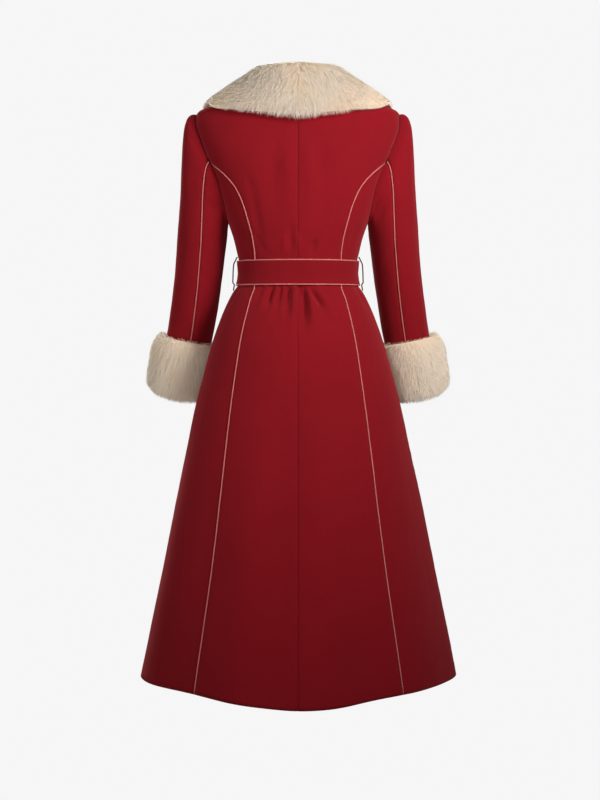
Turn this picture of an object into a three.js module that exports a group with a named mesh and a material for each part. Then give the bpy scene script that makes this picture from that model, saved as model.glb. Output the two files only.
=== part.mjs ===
// A fitted princess-line coat in red wool, with a deep fur collar, fur cuffs and a piped belt.
// It is filled out as if worn, with nobody in it, so every piece is a thin wall round a hollow.
// Millimetres, +Z up. The front faces -Y and +X is the wearer's left. The origin is the middle of
// the neck, level with the nape.
import * as THREE from 'three';

// Driving sizes
const wall = 3;                    // thickness of the wool cloth
const seamGap = 0.3;               // space between two pieces that are sewn together
const neckTop = 0;                 // height of the neck seam
const shoulderZ = -59;             // height of the shoulder points
const underarmZ = -273;            // lowest point of the armholes
const hemZ = -1178;
const hemRise = 8;                 // how much higher the hem hangs between its centres and its sides
const hemDrop = 12;                // how much lower it hangs at the centre back
const hemRiseStart = -900;
const armholeBack = 46;            // depth of the armhole behind the side line
const armholeFront = 52;
const princessMeets = 0.475;       // where the princess seams meet the armhole, 0 top, 1 underarm
const overlap = 30;                // how far each front passes the centre line
const lapRise = 4.2;               // how far the upper front stands over the lower one
const sleeveEndZ = -592;
const beltTop = -350;
const beltBottom = -397;
const beltStandOff = 2.5;          // clearance for the piping that runs under the belt
const beltThick = 2.5;
const tongueLift = beltThick + 0.9; // the belt's free end lies this far over the belt's inside
const beltEndGap = 4;              // degrees from the front centre to each end of the belt
const pipingWidth = 3;
const pipingHeight = 1.3;
const cuffZ = -560;                // middle of the fur cuffs
const cuffHalfHeight = 65;
const cuffFur = 27;                // depth of the fur round the sleeve

const degrees = Math.PI / 180;
const sideLine = Math.PI / 2;
const frontLine = Math.PI;

// Horizontal sections of the body, from the neck stand down to the hem. Each is a rounded oval:
// half its width, its depth behind and in front of the side line, and how square it is.
const bodySections = [
  { z: 50, half: 84, back: 76, front: 70, square: 2.0 },
  { z: 20, half: 78, back: 68, front: 64, square: 2.0 },
  { z: 0, half: 76, back: 62, front: 62, square: 2.0 },
  { z: -28, half: 129, back: 75, front: 70, square: 2.1 },
  { z: -59, half: 201, back: 88, front: 83, square: 2.3 },
  { z: -81, half: 203, back: 94, front: 91, square: 2.4 },
  { z: -100, half: 200, back: 97, front: 97, square: 2.4 },
  { z: -148, half: 185, back: 103, front: 112, square: 2.4 },
  { z: -186, half: 168, back: 104, front: 121, square: 2.4 },
  { z: -220, half: 157, back: 103, front: 126, square: 2.4 },
  { z: -250, half: 148, back: 101, front: 126, square: 2.3 },
  { z: -273, half: 139, back: 99, front: 122, square: 2.3 },
  { z: -306, half: 128, back: 95, front: 110, square: 2.2 },
  { z: -335, half: 121, back: 92, front: 98, square: 2.1 },
  { z: -352, half: 117, back: 90, front: 92, square: 2.1 },
  { z: -374, half: 115, back: 89, front: 89, square: 2.1 },
  { z: -396, half: 119, back: 92, front: 91, square: 2.1 },
  { z: -410, half: 129, back: 101, front: 97, square: 2.1 },
  { z: -446, half: 147, back: 121, front: 108, square: 2.1 },
  { z: -496, half: 166, back: 140, front: 121, square: 2.1 },
  { z: -566, half: 187, back: 157, front: 133, square: 2.0 },
  { z: -636, half: 205, back: 171, front: 144, square: 2.0 },
  { z: -726, half: 224, back: 188, front: 160, square: 2.0 },
  { z: -846, half: 250, back: 210, front: 180, square: 1.95 },
  { z: -966, half: 274, back: 230, front: 200, square: 1.9 },
  { z: -1086, half: 299, back: 250, front: 218, square: 1.85 },
  { z: -1178, half: 318, back: 265, front: 232, square: 1.8 },
];

// The princess seams below the armhole, by their distance from the centre line
const princessSeam = [
  { z: -187, x: 139 },
  { z: -210, x: 121 },
  { z: -243, x: 106 },
  { z: -270, x: 98 },
  { z: -309, x: 88 },
  { z: -346, x: 84 },
  { z: -398, x: 84 },
  { z: -427, x: 93 },
  { z: -518, x: 113 },
  { z: -904, x: 161 },
  { z: -1178, x: 199 },
];

// The front edge: the slant of the neckline, then straight down past the centre line
const frontEdge = [
  { z: 0, x: 73 },
  { z: -60, x: 58 },
  { z: -120, x: 43 },
  { z: -200, x: 23 },
  { z: -262, x: 4 },
  { z: -300, x: -14 },
  { z: -332, x: -overlap },
  { z: -1178, x: -overlap },
];

// The middle of the left sleeve and its half widths, across and from front to back
const sleeveSections = [
  { z: -300, x: 192.5, y: -30, across: 50, deep: 55 },
  { z: -386, x: 203, y: -54, across: 48, deep: 52 },
  { z: -466, x: 216, y: -78, across: 47.5, deep: 50 },
  { z: -520, x: 227, y: -95, across: 46.5, deep: 48.5 },
  { z: -567, x: 238, y: -110, across: 45.5, deep: 47.5 },
  { z: -650, x: 254, y: -134, across: 45, deep: 47 },
];

// The collar, from the centre back round to the front: its neck edge, its outer edge and how
// far the fur swells above the straight line between the two
const collarSections = [
  { turn: 0, neckPhi: 0, neckZ: 35, outerPhi: 0, outerZ: -80, swell: 33 },
  { turn: 0.2, neckPhi: 45, neckZ: 30, outerPhi: 47, outerZ: -69, swell: 26 },
  { turn: 0.28, neckPhi: 67, neckZ: 21, outerPhi: 67, outerZ: -64, swell: 18 },
  { turn: 0.36, neckPhi: 88, neckZ: 12, outerPhi: 86, outerZ: -45, swell: 10 },
  { turn: 0.5, neckPhi: 118, neckZ: -12, outerPhi: 112, outerZ: -82, swell: 17 },
  { turn: 0.64, neckPhi: 139, neckZ: -50, outerPhi: 128, outerZ: -140, swell: 27 },
  { turn: 0.82, neckPhi: 163, neckZ: -150, outerPhi: 139, outerZ: -214, swell: 27 },
  { turn: 1, neckPhi: 179, neckZ: -262, outerPhi: 172, outerZ: -302, swell: 16 },
];

// Heights of the rows of each body panel, from the hem up to the underarm
const lowerRows = [
  hemZ, -1100, -1015, -930, -846, -766, -690, -625, -566, -520, -482, -448, -426, -412,
  -404, -396, -374, -352, -335, -306, underarmZ,
];

function smoothStep(value) {
  const t = Math.min(1, Math.max(0, value));
  return t * t * (3 - 2 * t);
}

function hermite(from, fromSlope, to, toSlope, t) {
  const rest = 1 - t;
  return from * (1 + 2 * t) * rest * rest + fromSlope * t * rest * rest
    + to * t * t * (3 - 2 * t) - toSlope * t * t * rest;
}

// A smooth curve through one column of a table, which never swings past the values in it
function curveOf(rows, key, column) {
  const xs = rows.map((row) => row[key]);
  const ys = rows.map((row) => row[column]);
  const last = xs.length - 1;
  const rise = (i) => (ys[i + 1] - ys[i]) / (xs[i + 1] - xs[i]);
  const slopes = ys.map((y, i) => {
    if (i === 0) return rise(0);
    if (i === last) return rise(last - 1);
    const both = rise(i - 1) * rise(i);
    return both <= 0 ? 0 : (2 * both) / (rise(i - 1) + rise(i));
  });
  const order = Math.sign(xs[last] - xs[0]);
  return (x) => {
    let i = 0;
    while (i < last - 1 && (x - xs[i + 1]) * order > 0) i += 1;
    const step = xs[i + 1] - xs[i];
    const t = Math.min(1, Math.max(0, (x - xs[i]) / step));
    return hermite(ys[i], slopes[i] * step, ys[i + 1], slopes[i + 1] * step, t);
  };
}

const halfWidth = curveOf(bodySections, 'z', 'half');
const backDepth = curveOf(bodySections, 'z', 'back');
const frontDepth = curveOf(bodySections, 'z', 'front');
const squareness = curveOf(bodySections, 'z', 'square');

// The outside of the cloth at an angle from the centre back and a height. Each level is a
// superellipse in polar form. The hem rises between the centres and the sides and drops behind.
function bodyPoint(phi, z) {
  const power = squareness(z);
  const depth = Math.cos(phi) > 0 ? backDepth(z) : frontDepth(z);
  const across = Math.abs(Math.sin(phi) / halfWidth(z));
  const along = Math.abs(Math.cos(phi) / depth);
  const radius = (across ** power + along ** power) ** (-1 / power);
  const hang = hemRise * Math.sin(2 * phi) ** 2 - hemDrop * Math.max(0, Math.cos(phi)) ** 2;
  const rise = hang * smoothStep((hemRiseStart - z) / (hemRiseStart - hemZ));
  return new THREE.Vector3(radius * Math.sin(phi), radius * Math.cos(phi), z + rise);
}

function bodyNormal(phi, z) {
  const turn = 0.01;
  const step = 1;
  const around = bodyPoint(phi + turn, z).sub(bodyPoint(phi - turn, z));
  const up = bodyPoint(phi, z + step).sub(bodyPoint(phi, z - step));
  return up.cross(around).normalize();
}

function offBody(phi, z, distance) {
  return bodyPoint(phi, z).addScaledVector(bodyNormal(phi, z), distance);
}

// The angle of the point that is x from the centre line at height z
function angleAt(x, z, isBack) {
  const power = squareness(z);
  const depth = isBack ? backDepth(z) : frontDepth(z);
  const ratio = Math.min(1, Math.abs(x) / halfWidth(z));
  const y = depth * (1 - ratio ** power) ** (1 / power);
  return isBack ? Math.atan2(x, y) : frontLine - Math.atan2(x, y);
}

function radiusAt(phi, z) {
  const point = bodyPoint(phi, z);
  return Math.hypot(point.x, point.y);
}

// An angle moved along its level by a distance in millimetres
function shifted(phi, z, distance) {
  return phi + distance / radiusAt(phi, z);
}

// The armhole is an egg in side view, laid onto the body: t runs from the shoulder to the underarm
function armhole(t, isBack) {
  const turn = t * Math.PI;
  const drop = (1 - Math.cos(turn)) / 2;
  const z = shoulderZ + (underarmZ - shoulderZ) * drop;
  const y = (isBack ? armholeBack : -armholeFront) * Math.sin(turn) * (0.72 + 0.4 * drop);
  const power = squareness(z);
  const depth = isBack ? backDepth(z) : frontDepth(z);
  const x = halfWidth(z) * (1 - (Math.abs(y) / depth) ** power) ** (1 / power);
  return { phi: Math.atan2(x, y), z, x };
}

const princessTop = { true: armhole(princessMeets, true), false: armhole(princessMeets, false) };
const princessX = {
  true: curveOf([princessTop[true], ...princessSeam], 'z', 'x'),
  false: curveOf([princessTop[false], ...princessSeam], 'z', 'x'),
};

function princessAngle(z, isBack) {
  return angleAt(princessX[isBack](z), z, isBack);
}

const frontEdgeX = curveOf(frontEdge, 'z', 'x');

function spread(from, to, count) {
  return Array.from({ length: count }, (unused, i) => from + ((to - from) * i) / (count - 1));
}

// Turns the faces of a closed mesh outwards
function outward(positions, faces) {
  let volume = 0;
  const a = new THREE.Vector3();
  const b = new THREE.Vector3();
  const c = new THREE.Vector3();
  for (let i = 0; i < faces.length; i += 3) {
    a.fromArray(positions, faces[i] * 3);
    b.fromArray(positions, faces[i + 1] * 3);
    c.fromArray(positions, faces[i + 2] * 3);
    volume += a.dot(b.cross(c));
  }
  return volume > 0 ? faces : faces.slice().reverse();
}

function geometryOf(points, faces) {
  const positions = points.flatMap((point) => [point.x, point.y, point.z]);
  const geometry = new THREE.BufferGeometry();
  geometry.setAttribute('position', new THREE.Float32BufferAttribute(positions, 3));
  geometry.setIndex(outward(positions, faces));
  return geometry;
}

// Two triangles for each cell of a grid of corners; wrap joins the last column to the first
function gridFaces(rows, columns, wrapRows, wrapColumns) {
  const faces = [];
  const rowCells = wrapRows ? rows : rows - 1;
  const columnCells = wrapColumns ? columns : columns - 1;
  for (let j = 0; j < rowCells; j += 1) {
    for (let i = 0; i < columnCells; i += 1) {
      const a = j * columns + i;
      const b = j * columns + ((i + 1) % columns);
      const c = ((j + 1) % rows) * columns + ((i + 1) % columns);
      const d = ((j + 1) % rows) * columns + i;
      faces.push(a, b, c, a, c, d);
    }
  }
  return faces;
}

// A tube of like-sized loops, closed on itself or with a flat fan at each end
function loft(loops, closed) {
  const sides = loops[0].length;
  const points = loops.flat();
  const faces = gridFaces(loops.length, sides, closed, true);
  if (!closed) {
    const endStart = (loops.length - 1) * sides;
    for (let i = 1; i < sides - 1; i += 1) {
      faces.push(0, i + 1, i);
      faces.push(endStart, endStart + i, endStart + i + 1);
    }
  }
  return geometryOf(points, faces);
}

// A cloth wall: the outer and inner grids of a panel, joined round the rim. The loop of each row
// runs out along the outer face and back along the inner one.
function clothWall(outer, inner) {
  const loops = outer.map((row, j) => [...row, ...inner[j].slice().reverse()]);
  const sides = loops[0].length;
  const half = sides / 2;
  const endStart = (loops.length - 1) * sides;
  const faces = gridFaces(loops.length, sides, false, true);
  for (let i = 0; i < half - 1; i += 1) {
    const j = sides - 1 - i;
    faces.push(i, j - 1, i + 1, i, j, j - 1);
    faces.push(endStart + i, endStart + i + 1, endStart + j - 1);
    faces.push(endStart + i, endStart + j - 1, endStart + j);
  }
  return geometryOf(loops.flat(), faces);
}

function mirrored(point) {
  return new THREE.Vector3(-point.x, point.y, point.z);
}

const cloth = { color: 0x8f1a22, roughness: 0.92, metalness: 0 };
const beltCloth = { color: 0x84191f, roughness: 0.9, metalness: 0 };
const fur = { color: 0xd9bf9f, roughness: 0.98, metalness: 0 };
const cord = { color: 0xd9a79a, roughness: 0.7, metalness: 0 };

const group = new THREE.Group();

function add(name, geometry, finish) {
  const mesh = new THREE.Mesh(geometry, new THREE.MeshStandardMaterial(finish));
  mesh.name = name;
  group.add(mesh);
}

// A body panel ruled between two lists of {phi, z}. side is 1 on the wearer's left and -1 on the
// right, and rise gives how far the panel stands over the body at an angle.
function panel(name, side, from, to, columns, rise) {
  const layer = (depth) => from.map((start, j) => spread(0, 1, columns).map((t) => {
    const phi = THREE.MathUtils.lerp(start.phi, to[j].phi, t);
    const z = THREE.MathUtils.lerp(start.z, to[j].z, t);
    const point = offBody(phi, z, rise(phi) - depth);
    return side > 0 ? point : mirrored(point);
  }));
  add(name, clothWall(layer(0), layer(wall)), cloth);
}

const flat = () => 0;

// The upper front rises over the lower one towards the centre
function lapAt(phi) {
  const lapStart = 133 * degrees;
  const lapFull = 150 * degrees;
  return lapRise * smoothStep((Math.abs(phi) - lapStart) / (lapFull - lapStart));
}

// The centre panels run from the hem to the neck, out to the princess seam, the armhole and
// then the shoulder seam
const upperRows = 5;
const armholeRows = 5;
const tipDrop = 3;
const shoulderRows = [-46, -30, -14, neckTop];

// Heights of the rows that both panels share along a princess seam
function seamHeights(isBack) {
  const tip = princessTop[isBack].z - tipDrop;
  return [...lowerRows, ...spread(underarmZ, tip, upperRows + 1).slice(1)];
}

function centreRows(isBack) {
  const toShoulder = spread(princessMeets, 0, armholeRows + 1);
  const facing = isBack ? -1 : 1;
  const half = (facing * seamGap) / 2;
  const seam = seamHeights(isBack).map((z) => ({ phi: shifted(princessAngle(z, isBack), z, half), z }));
  const hole = toShoulder.map((t) => armhole(t, isBack));
  hole[0].phi = shifted(hole[0].phi, hole[0].z, half);
  hole[armholeRows].phi = shifted(sideLine, shoulderZ, half);
  const shoulder = shoulderRows.map((z) => ({ phi: shifted(sideLine, z, half), z }));
  return [...seam, ...hole, ...shoulder];
}

function frontPanel(name, side, rise) {
  const outer = centreRows(false);
  const edge = outer.map(({ z }) => ({ phi: angleAt(frontEdgeX(z), z, false), z }));
  panel(name, side, outer, edge, 6, rise);
}

function backPanel(name, side) {
  const outer = centreRows(true);
  const centre = outer.map(({ z }) => ({ phi: shifted(0, z, seamGap / 2), z }));
  panel(name, side, centre, outer, 6, flat);
}

// The side panels run from the princess seam to the side seam, and end in a narrow tip between
// the princess seam and the armhole
function sidePanel(name, side, isBack) {
  const tipTurn = 0.02;
  const facing = isBack ? 1 : -1;
  const half = (facing * seamGap) / 2;
  const toTip = spread(1, princessMeets + tipTurn, upperRows + 1).slice(1);
  const seam = seamHeights(isBack).map((z) => ({ phi: shifted(princessAngle(z, isBack), z, half), z }));
  const sideSeam = lowerRows.map((z) => ({ phi: shifted(sideLine, z, -half), z }));
  const hole = toTip.map((t) => armhole(t, isBack));
  panel(name, side, seam, [...sideSeam, ...hole], 6, flat);
}

// The left sleeve. turn goes round it from the top or outside, by the back and the inside, to
// the front. reach is 0 at the armhole, 1 where the straight tube begins and 2 at the wrist.
const sleeveX = curveOf(sleeveSections, 'z', 'x');
const sleeveY = curveOf(sleeveSections, 'z', 'y');
const sleeveAcross = curveOf(sleeveSections, 'z', 'across');
const sleeveDeep = curveOf(sleeveSections, 'z', 'deep');
const sleeveTubeZ = sleeveSections[0].z;

function sleeveFrame(z) {
  const step = 2;
  const middle = new THREE.Vector3(sleeveX(z), sleeveY(z), z);
  const down = new THREE.Vector3(sleeveX(z - step), sleeveY(z - step), z - step).sub(middle).normalize();
  const out = new THREE.Vector3(1, 0, 0).addScaledVector(down, -down.x).normalize();
  return { middle, down, out, rear: out.clone().cross(down) };
}

// A point off the axis of the sleeve's tube, with extra added to its half widths
function tubePoint(turn, z, extra) {
  const { middle, out, rear } = sleeveFrame(z);
  return middle
    .addScaledVector(out, (sleeveAcross(z) + extra) * Math.cos(turn))
    .addScaledVector(rear, (sleeveDeep(z) + extra) * Math.sin(turn));
}

// The sleeve head leaves the armhole outwards at the top and downwards at the underarm, and
// bends over into the tube along a cubic curve
function headPoint(turn, reach) {
  const top = Math.cos(turn);
  const isBack = Math.sin(turn) >= 0;
  const t = Math.acos(THREE.MathUtils.clamp(top, -1, 1)) / Math.PI;
  const hole = armhole(t, isBack);
  const leave = new THREE.Vector3(0.65 + 0.35 * top, 0.3 * Math.sin(turn), -0.34 + 0.65 * top).normalize();
  const clear = bodyNormal(hole.phi, hole.z).multiplyScalar(0.6 * (1 - top)).add(leave).normalize();
  const from = bodyPoint(hole.phi, hole.z).addScaledVector(clear, seamGap + 0.15);
  const to = tubePoint(turn, sleeveTubeZ, 0);
  const span = from.distanceTo(to);
  const fromPull = span * (0.45 + 0.25 * top);
  const toPull = span * 0.9;
  const { down } = sleeveFrame(sleeveTubeZ);
  const axis = (name) => hermite(from[name], leave[name] * fromPull, to[name], down[name] * toPull, reach);
  const point = new THREE.Vector3(axis('x'), axis('y'), axis('z'));
  const flatten = 7;
  point.x -= flatten * Math.max(0, top) * Math.sin(Math.PI * reach) ** 2;
  return point;
}

function sleevePoint(turn, reach) {
  if (reach <= 1) return headPoint(turn, Math.max(0, reach));
  return tubePoint(turn, THREE.MathUtils.lerp(sleeveTubeZ, sleeveEndZ, reach - 1), 0);
}

function sleeveNormal(turn, reach) {
  const step = 0.01;
  const along = sleevePoint(turn, reach + step).sub(sleevePoint(turn, Math.max(0, reach - step)));
  const around = sleevePoint(turn + step, reach).sub(sleevePoint(turn - step, reach));
  return along.cross(around).normalize();
}

function offSleeve(turn, reach, distance) {
  return sleevePoint(turn, reach).addScaledVector(sleeveNormal(turn, reach), distance);
}

// The back and front seams of the two-piece sleeve
function sleeveSeam(reach) {
  return THREE.MathUtils.lerp(84, 97, reach / 2) * degrees;
}

const sleeveReaches = [0, 0.08, 0.2, 0.34, 0.5, 0.67, 0.84, 1, 1.16, 1.32, 1.48, 1.62, 1.76, 1.88, 2];

function sleevePiece(name, side, isUpper, columns) {
  const halfGap = (reach) => (seamGap / 2) / (reach < 1 ? 60 : 48);
  const layer = (depth) => sleeveReaches.map((reach) => {
    const seam = sleeveSeam(reach);
    const from = isUpper ? -seam + halfGap(reach) : seam + halfGap(reach);
    const to = isUpper ? seam - halfGap(reach) : 2 * Math.PI - seam - halfGap(reach);
    return spread(from, to, columns).map((turn) => {
      const point = offSleeve(turn, reach, -depth);
      return side > 0 ? point : mirrored(point);
    });
  });
  add(name, clothWall(layer(0), layer(wall)), cloth);
}

// A fur cuff: a rounded roll round the end of the sleeve, open at the wrist
function cuff(name, side) {
  const around = 24;
  const profile = 12;
  const clearance = 0.75;
  const upperCorner = 0.62;
  const lowerCorner = 0.85;
  const rounded = (value, corner) => Math.sign(value) * Math.abs(value) ** corner;
  const { down } = sleeveFrame(cuffZ);
  const loops = Array.from({ length: around }, (unused, i) => {
    const turn = (i / around) * 2 * Math.PI;
    return Array.from({ length: profile }, (unusedToo, j) => {
      const angle = (j / profile) * 2 * Math.PI;
      const corner = Math.sin(angle) > 0 ? lowerCorner : upperCorner;
      const along = cuffHalfHeight * rounded(Math.sin(angle), corner);
      const depth = clearance + (cuffFur - clearance) * (0.5 + 0.5 * rounded(Math.cos(angle), corner));
      const point = tubePoint(turn, cuffZ + along * down.z, depth);
      return side > 0 ? point : mirrored(point);
    });
  });
  add(name, loft(loops, true), fur);
}

// The collar: at each turn its underside lies on the coat and its top is a swell over the
// straight line from the neck edge to the outer edge
const collarColumn = (column) => curveOf(collarSections, 'turn', column);
const collarNeckPhi = collarColumn('neckPhi');
const collarNeckZ = collarColumn('neckZ');
const collarOuterPhi = collarColumn('outerPhi');
const collarOuterZ = collarColumn('outerZ');
const collarSwell = collarColumn('swell');

function collarUnder(turn, across) {
  const shoulderTurn = 0.43;
  const clearance = 1.4 + 7 * Math.exp(-(((Math.abs(turn) - shoulderTurn) / 0.13) ** 2));
  const size = Math.abs(turn);
  const phi = THREE.MathUtils.lerp(collarNeckPhi(size), collarOuterPhi(size), across) * degrees;
  const z = THREE.MathUtils.lerp(collarNeckZ(size), collarOuterZ(size), across);
  const point = offBody(phi, z, clearance + lapAt(phi));
  return turn >= 0 ? point : mirrored(point);
}

function collarTop(turn, across) {
  const step = 0.01;
  const chord = (at) => collarUnder(at, 0).lerp(collarUnder(at, 1), across);
  const along = chord(turn + step).sub(chord(turn - step));
  const over = collarUnder(turn, 1).sub(collarUnder(turn, 0));
  const up = along.cross(over).normalize();
  const size = Math.abs(turn);
  const fullness = (1 - Math.abs(2 * across - 1) ** 2.6) ** 0.5;
  const frontness = smoothStep((size - 0.42) / 0.2);
  const base = chord(turn).lerp(collarUnder(turn, across), frontness);
  return base.addScaledVector(up, collarSwell(size) * fullness);
}

function collar(name) {
  const acrossUnder = spread(0, 1, 7);
  const acrossTop = [0.96, 0.84, 0.68, 0.5, 0.32, 0.16, 0.04];
  const loops = spread(-1, 1, 41).map((turn) => [
    ...acrossUnder.map((across) => collarUnder(turn, across)),
    ...acrossTop.map((across) => collarTop(turn, across)),
  ]);
  add(name, loft(loops, false), fur);
}

// A flat-topped cord along a path of {point, normal}
function cordAlong(name, side, path, width, height, lift) {
  const loops = path.map(({ point, normal }, i) => {
    const before = path[Math.max(0, i - 1)].point;
    const after = path[Math.min(path.length - 1, i + 1)].point;
    const across = after.clone().sub(before).cross(normal).normalize();
    const corner = (sideways, up) => {
      const place = point.clone().addScaledVector(across, sideways).addScaledVector(normal, up);
      return side > 0 ? place : mirrored(place);
    };
    return [
      corner(-width / 2, lift),
      corner(-width / 4, lift + height),
      corner(width / 4, lift + height),
      corner(width / 2, lift),
    ];
  });
  add(name, loft(loops, false), cord);
}

function princessPiping(name, side, isBack, rise) {
  const path = seamHeights(isBack).map((z) => {
    const phi = princessAngle(z, isBack);
    return { point: offBody(phi, z, rise(phi)), normal: bodyNormal(phi, z) };
  });
  cordAlong(name, side, path, pipingWidth, pipingHeight, seamGap);
}

function sleevePiping(name, side) {
  const visible = sleeveReaches.slice(1).filter((reach) => reach < 1.7);
  const path = visible.map((reach) => {
    const turn = sleeveSeam(reach);
    return { point: sleevePoint(turn, reach), normal: sleeveNormal(turn, reach) };
  });
  cordAlong(name, side, path, pipingWidth, pipingHeight, seamGap);
}

// The belt and its edge piping run round the waist from one side of the front centre to the other
const beltAngles = spread(-180 + beltEndGap, 180 - beltEndGap, 53);

function offBelt(phi, z, distance) {
  return offBody(phi, z, beltStandOff + lapAt(phi) + distance);
}

function band(name, angles, profile, finish) {
  const loops = angles.map((angle) => profile.map(({ z, off }) => offBelt(angle * degrees, z, off)));
  add(name, loft(loops, false), finish);
}

function strapProfile(top, bottom, from, to) {
  return [
    { z: top, off: from },
    { z: bottom, off: from },
    { z: bottom, off: to },
    { z: top, off: to },
  ];
}

function cordProfile(z, off, radius) {
  return Array.from({ length: 6 }, (unused, i) => {
    const turn = (i / 6) * 2 * Math.PI;
    return { z: z + radius * Math.cos(turn), off: off + radius * Math.sin(turn) };
  });
}

// A belt carrier: a narrow strap that stands off the side seam in a bow, over the belt
const carrierPath = [
  { z: -340, off: 1.4 },
  { z: -345, off: 6 },
  { z: -354, off: 11.5 },
  { z: -374, off: 14.5 },
  { z: -392, off: 12.5 },
  { z: -402, off: 6 },
  { z: -408, off: 1.4 },
];

function carrier(name, side) {
  const width = 9;
  const thick = 2;
  const middle = carrierPath.map(({ z, off }) => offBody(sideLine, z, off).setY(0));
  const loops = middle.map((point, i) => {
    const before = middle[Math.max(0, i - 1)];
    const after = middle[Math.min(middle.length - 1, i + 1)];
    const along = after.clone().sub(before).normalize();
    const out = new THREE.Vector3(-along.z, 0, along.x).multiplyScalar(thick / 2);
    const corner = (way, y) => {
      const place = point.clone().addScaledVector(out, way).setY(y);
      return side > 0 ? place : mirrored(place);
    };
    return [corner(1, -width / 2), corner(1, width / 2), corner(-1, width / 2), corner(-1, -width / 2)];
  });
  add(name, loft(loops, false), cloth);
}

// The buckle: a plain rounded frame, covered in cloth, in front of the belt's free end
function buckle(name) {
  const halfWide = 31;
  const halfTall = 33;
  const bar = 7;
  const thick = 4;
  const steps = 28;
  const clearance = 0.4;
  const standOff = beltStandOff + lapRise + tongueLift + beltThick + clearance;
  const middle = (beltTop + beltBottom) / 2;
  const rounded = (value) => Math.sign(value) * Math.abs(value) ** 0.36;
  const loops = Array.from({ length: steps }, (unused, i) => {
    const turn = (i / steps) * 2 * Math.PI;
    const edge = (inset, depth) => {
      const x = (halfWide - inset) * rounded(Math.cos(turn));
      const z = middle + (halfTall - inset) * rounded(Math.sin(turn));
      return offBody(angleAt(x, beltTop, false), beltTop, standOff + depth).setZ(z);
    };
    return [edge(0, 0), edge(0, thick), edge(bar, thick), edge(bar, 0)];
  });
  add(name, loft(loops, true), beltCloth);
}

// Body
backPanel('back_centre_left', 1);
backPanel('back_centre_right', -1);
sidePanel('back_side_left', 1, true);
sidePanel('back_side_right', -1, true);
sidePanel('front_side_left', 1, false);
sidePanel('front_side_right', -1, false);
frontPanel('front_left', 1, flat);
frontPanel('front_right', -1, lapAt);

// Sleeves and fur
for (const [word, side] of [['left', 1], ['right', -1]]) {
  sleevePiece(`sleeve_upper_${word}`, side, true, 11);
  sleevePiece(`sleeve_under_${word}`, side, false, 10);
  cuff(`cuff_${word}`, side);
}
collar('collar');

// Piping
for (const [word, side] of [['left', 1], ['right', -1]]) {
  const frontRise = side > 0 ? flat : lapAt;
  princessPiping(`piping_back_${word}`, side, true, flat);
  princessPiping(`piping_front_${word}`, side, false, frontRise);
  sleevePiping(`piping_sleeve_${word}`, side);
}

// Belt
const cordRadius = 1.25;
const cordOff = beltThick / 2;
const tongueAngles = spread(166, 222, 12);
band('belt', beltAngles, strapProfile(beltTop, beltBottom, 0, beltThick), beltCloth);
const cordMiddle = cordRadius + seamGap; // from the belt's edge
band('belt_piping_top', beltAngles, cordProfile(beltTop + cordMiddle, cordOff, cordRadius), cord);
band('belt_piping_bottom', beltAngles, cordProfile(beltBottom - cordMiddle, cordOff, cordRadius), cord);
const tongueInset = 3;
const tongue = strapProfile(
  beltTop - tongueInset,
  beltBottom + tongueInset,
  tongueLift,
  tongueLift + beltThick,
);
band('belt_end', tongueAngles, tongue, beltCloth);
carrier('belt_carrier_left', 1);
carrier('belt_carrier_right', -1);
buckle('buckle');

export default group;
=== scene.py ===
import math

import bpy
import numpy as np
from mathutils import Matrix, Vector


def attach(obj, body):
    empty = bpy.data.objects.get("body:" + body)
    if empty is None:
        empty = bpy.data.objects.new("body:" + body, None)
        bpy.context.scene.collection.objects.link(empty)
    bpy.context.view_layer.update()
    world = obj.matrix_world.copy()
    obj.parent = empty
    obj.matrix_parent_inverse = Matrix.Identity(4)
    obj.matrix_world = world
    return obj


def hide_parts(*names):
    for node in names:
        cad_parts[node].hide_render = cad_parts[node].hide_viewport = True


# A fitted coat of red wool with a fur collar, fur cuffs and a piped belt, filled out as if worn.
# Shapes are worked out in millimetres and written to the meshes in metres. +Z is up, the front
# faces -Y and +X is the wearer's left. phi is the angle round the body from the centre back.

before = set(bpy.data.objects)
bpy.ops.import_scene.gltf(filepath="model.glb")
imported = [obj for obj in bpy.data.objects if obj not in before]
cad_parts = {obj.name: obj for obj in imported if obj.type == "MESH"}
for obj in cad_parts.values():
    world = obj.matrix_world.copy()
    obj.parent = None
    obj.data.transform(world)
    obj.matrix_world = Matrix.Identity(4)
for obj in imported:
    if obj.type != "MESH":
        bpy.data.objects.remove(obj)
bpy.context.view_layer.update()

# The coat's own sizes, in millimetres
size = {
    "shoulderZ": -59,
    "underarmZ": -273,
    "hemZ": -1178,
    "hemRise": 8,
    "hemDrop": 12,
    "hemDips": -900,
    "armholeBack": 46,
    "armholeFront": 52,
    "armholeUpper": 0.72,
    "armholeLower": 0.4,
    "princessMeets": 0.475,
    "lapRise": 4.2,
    "tubeZ": -300,
    "sleeveEndZ": -592,
}
sideLine = math.pi / 2
frontLine = math.pi
sides = (("left", 1), ("right", -1))

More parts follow.
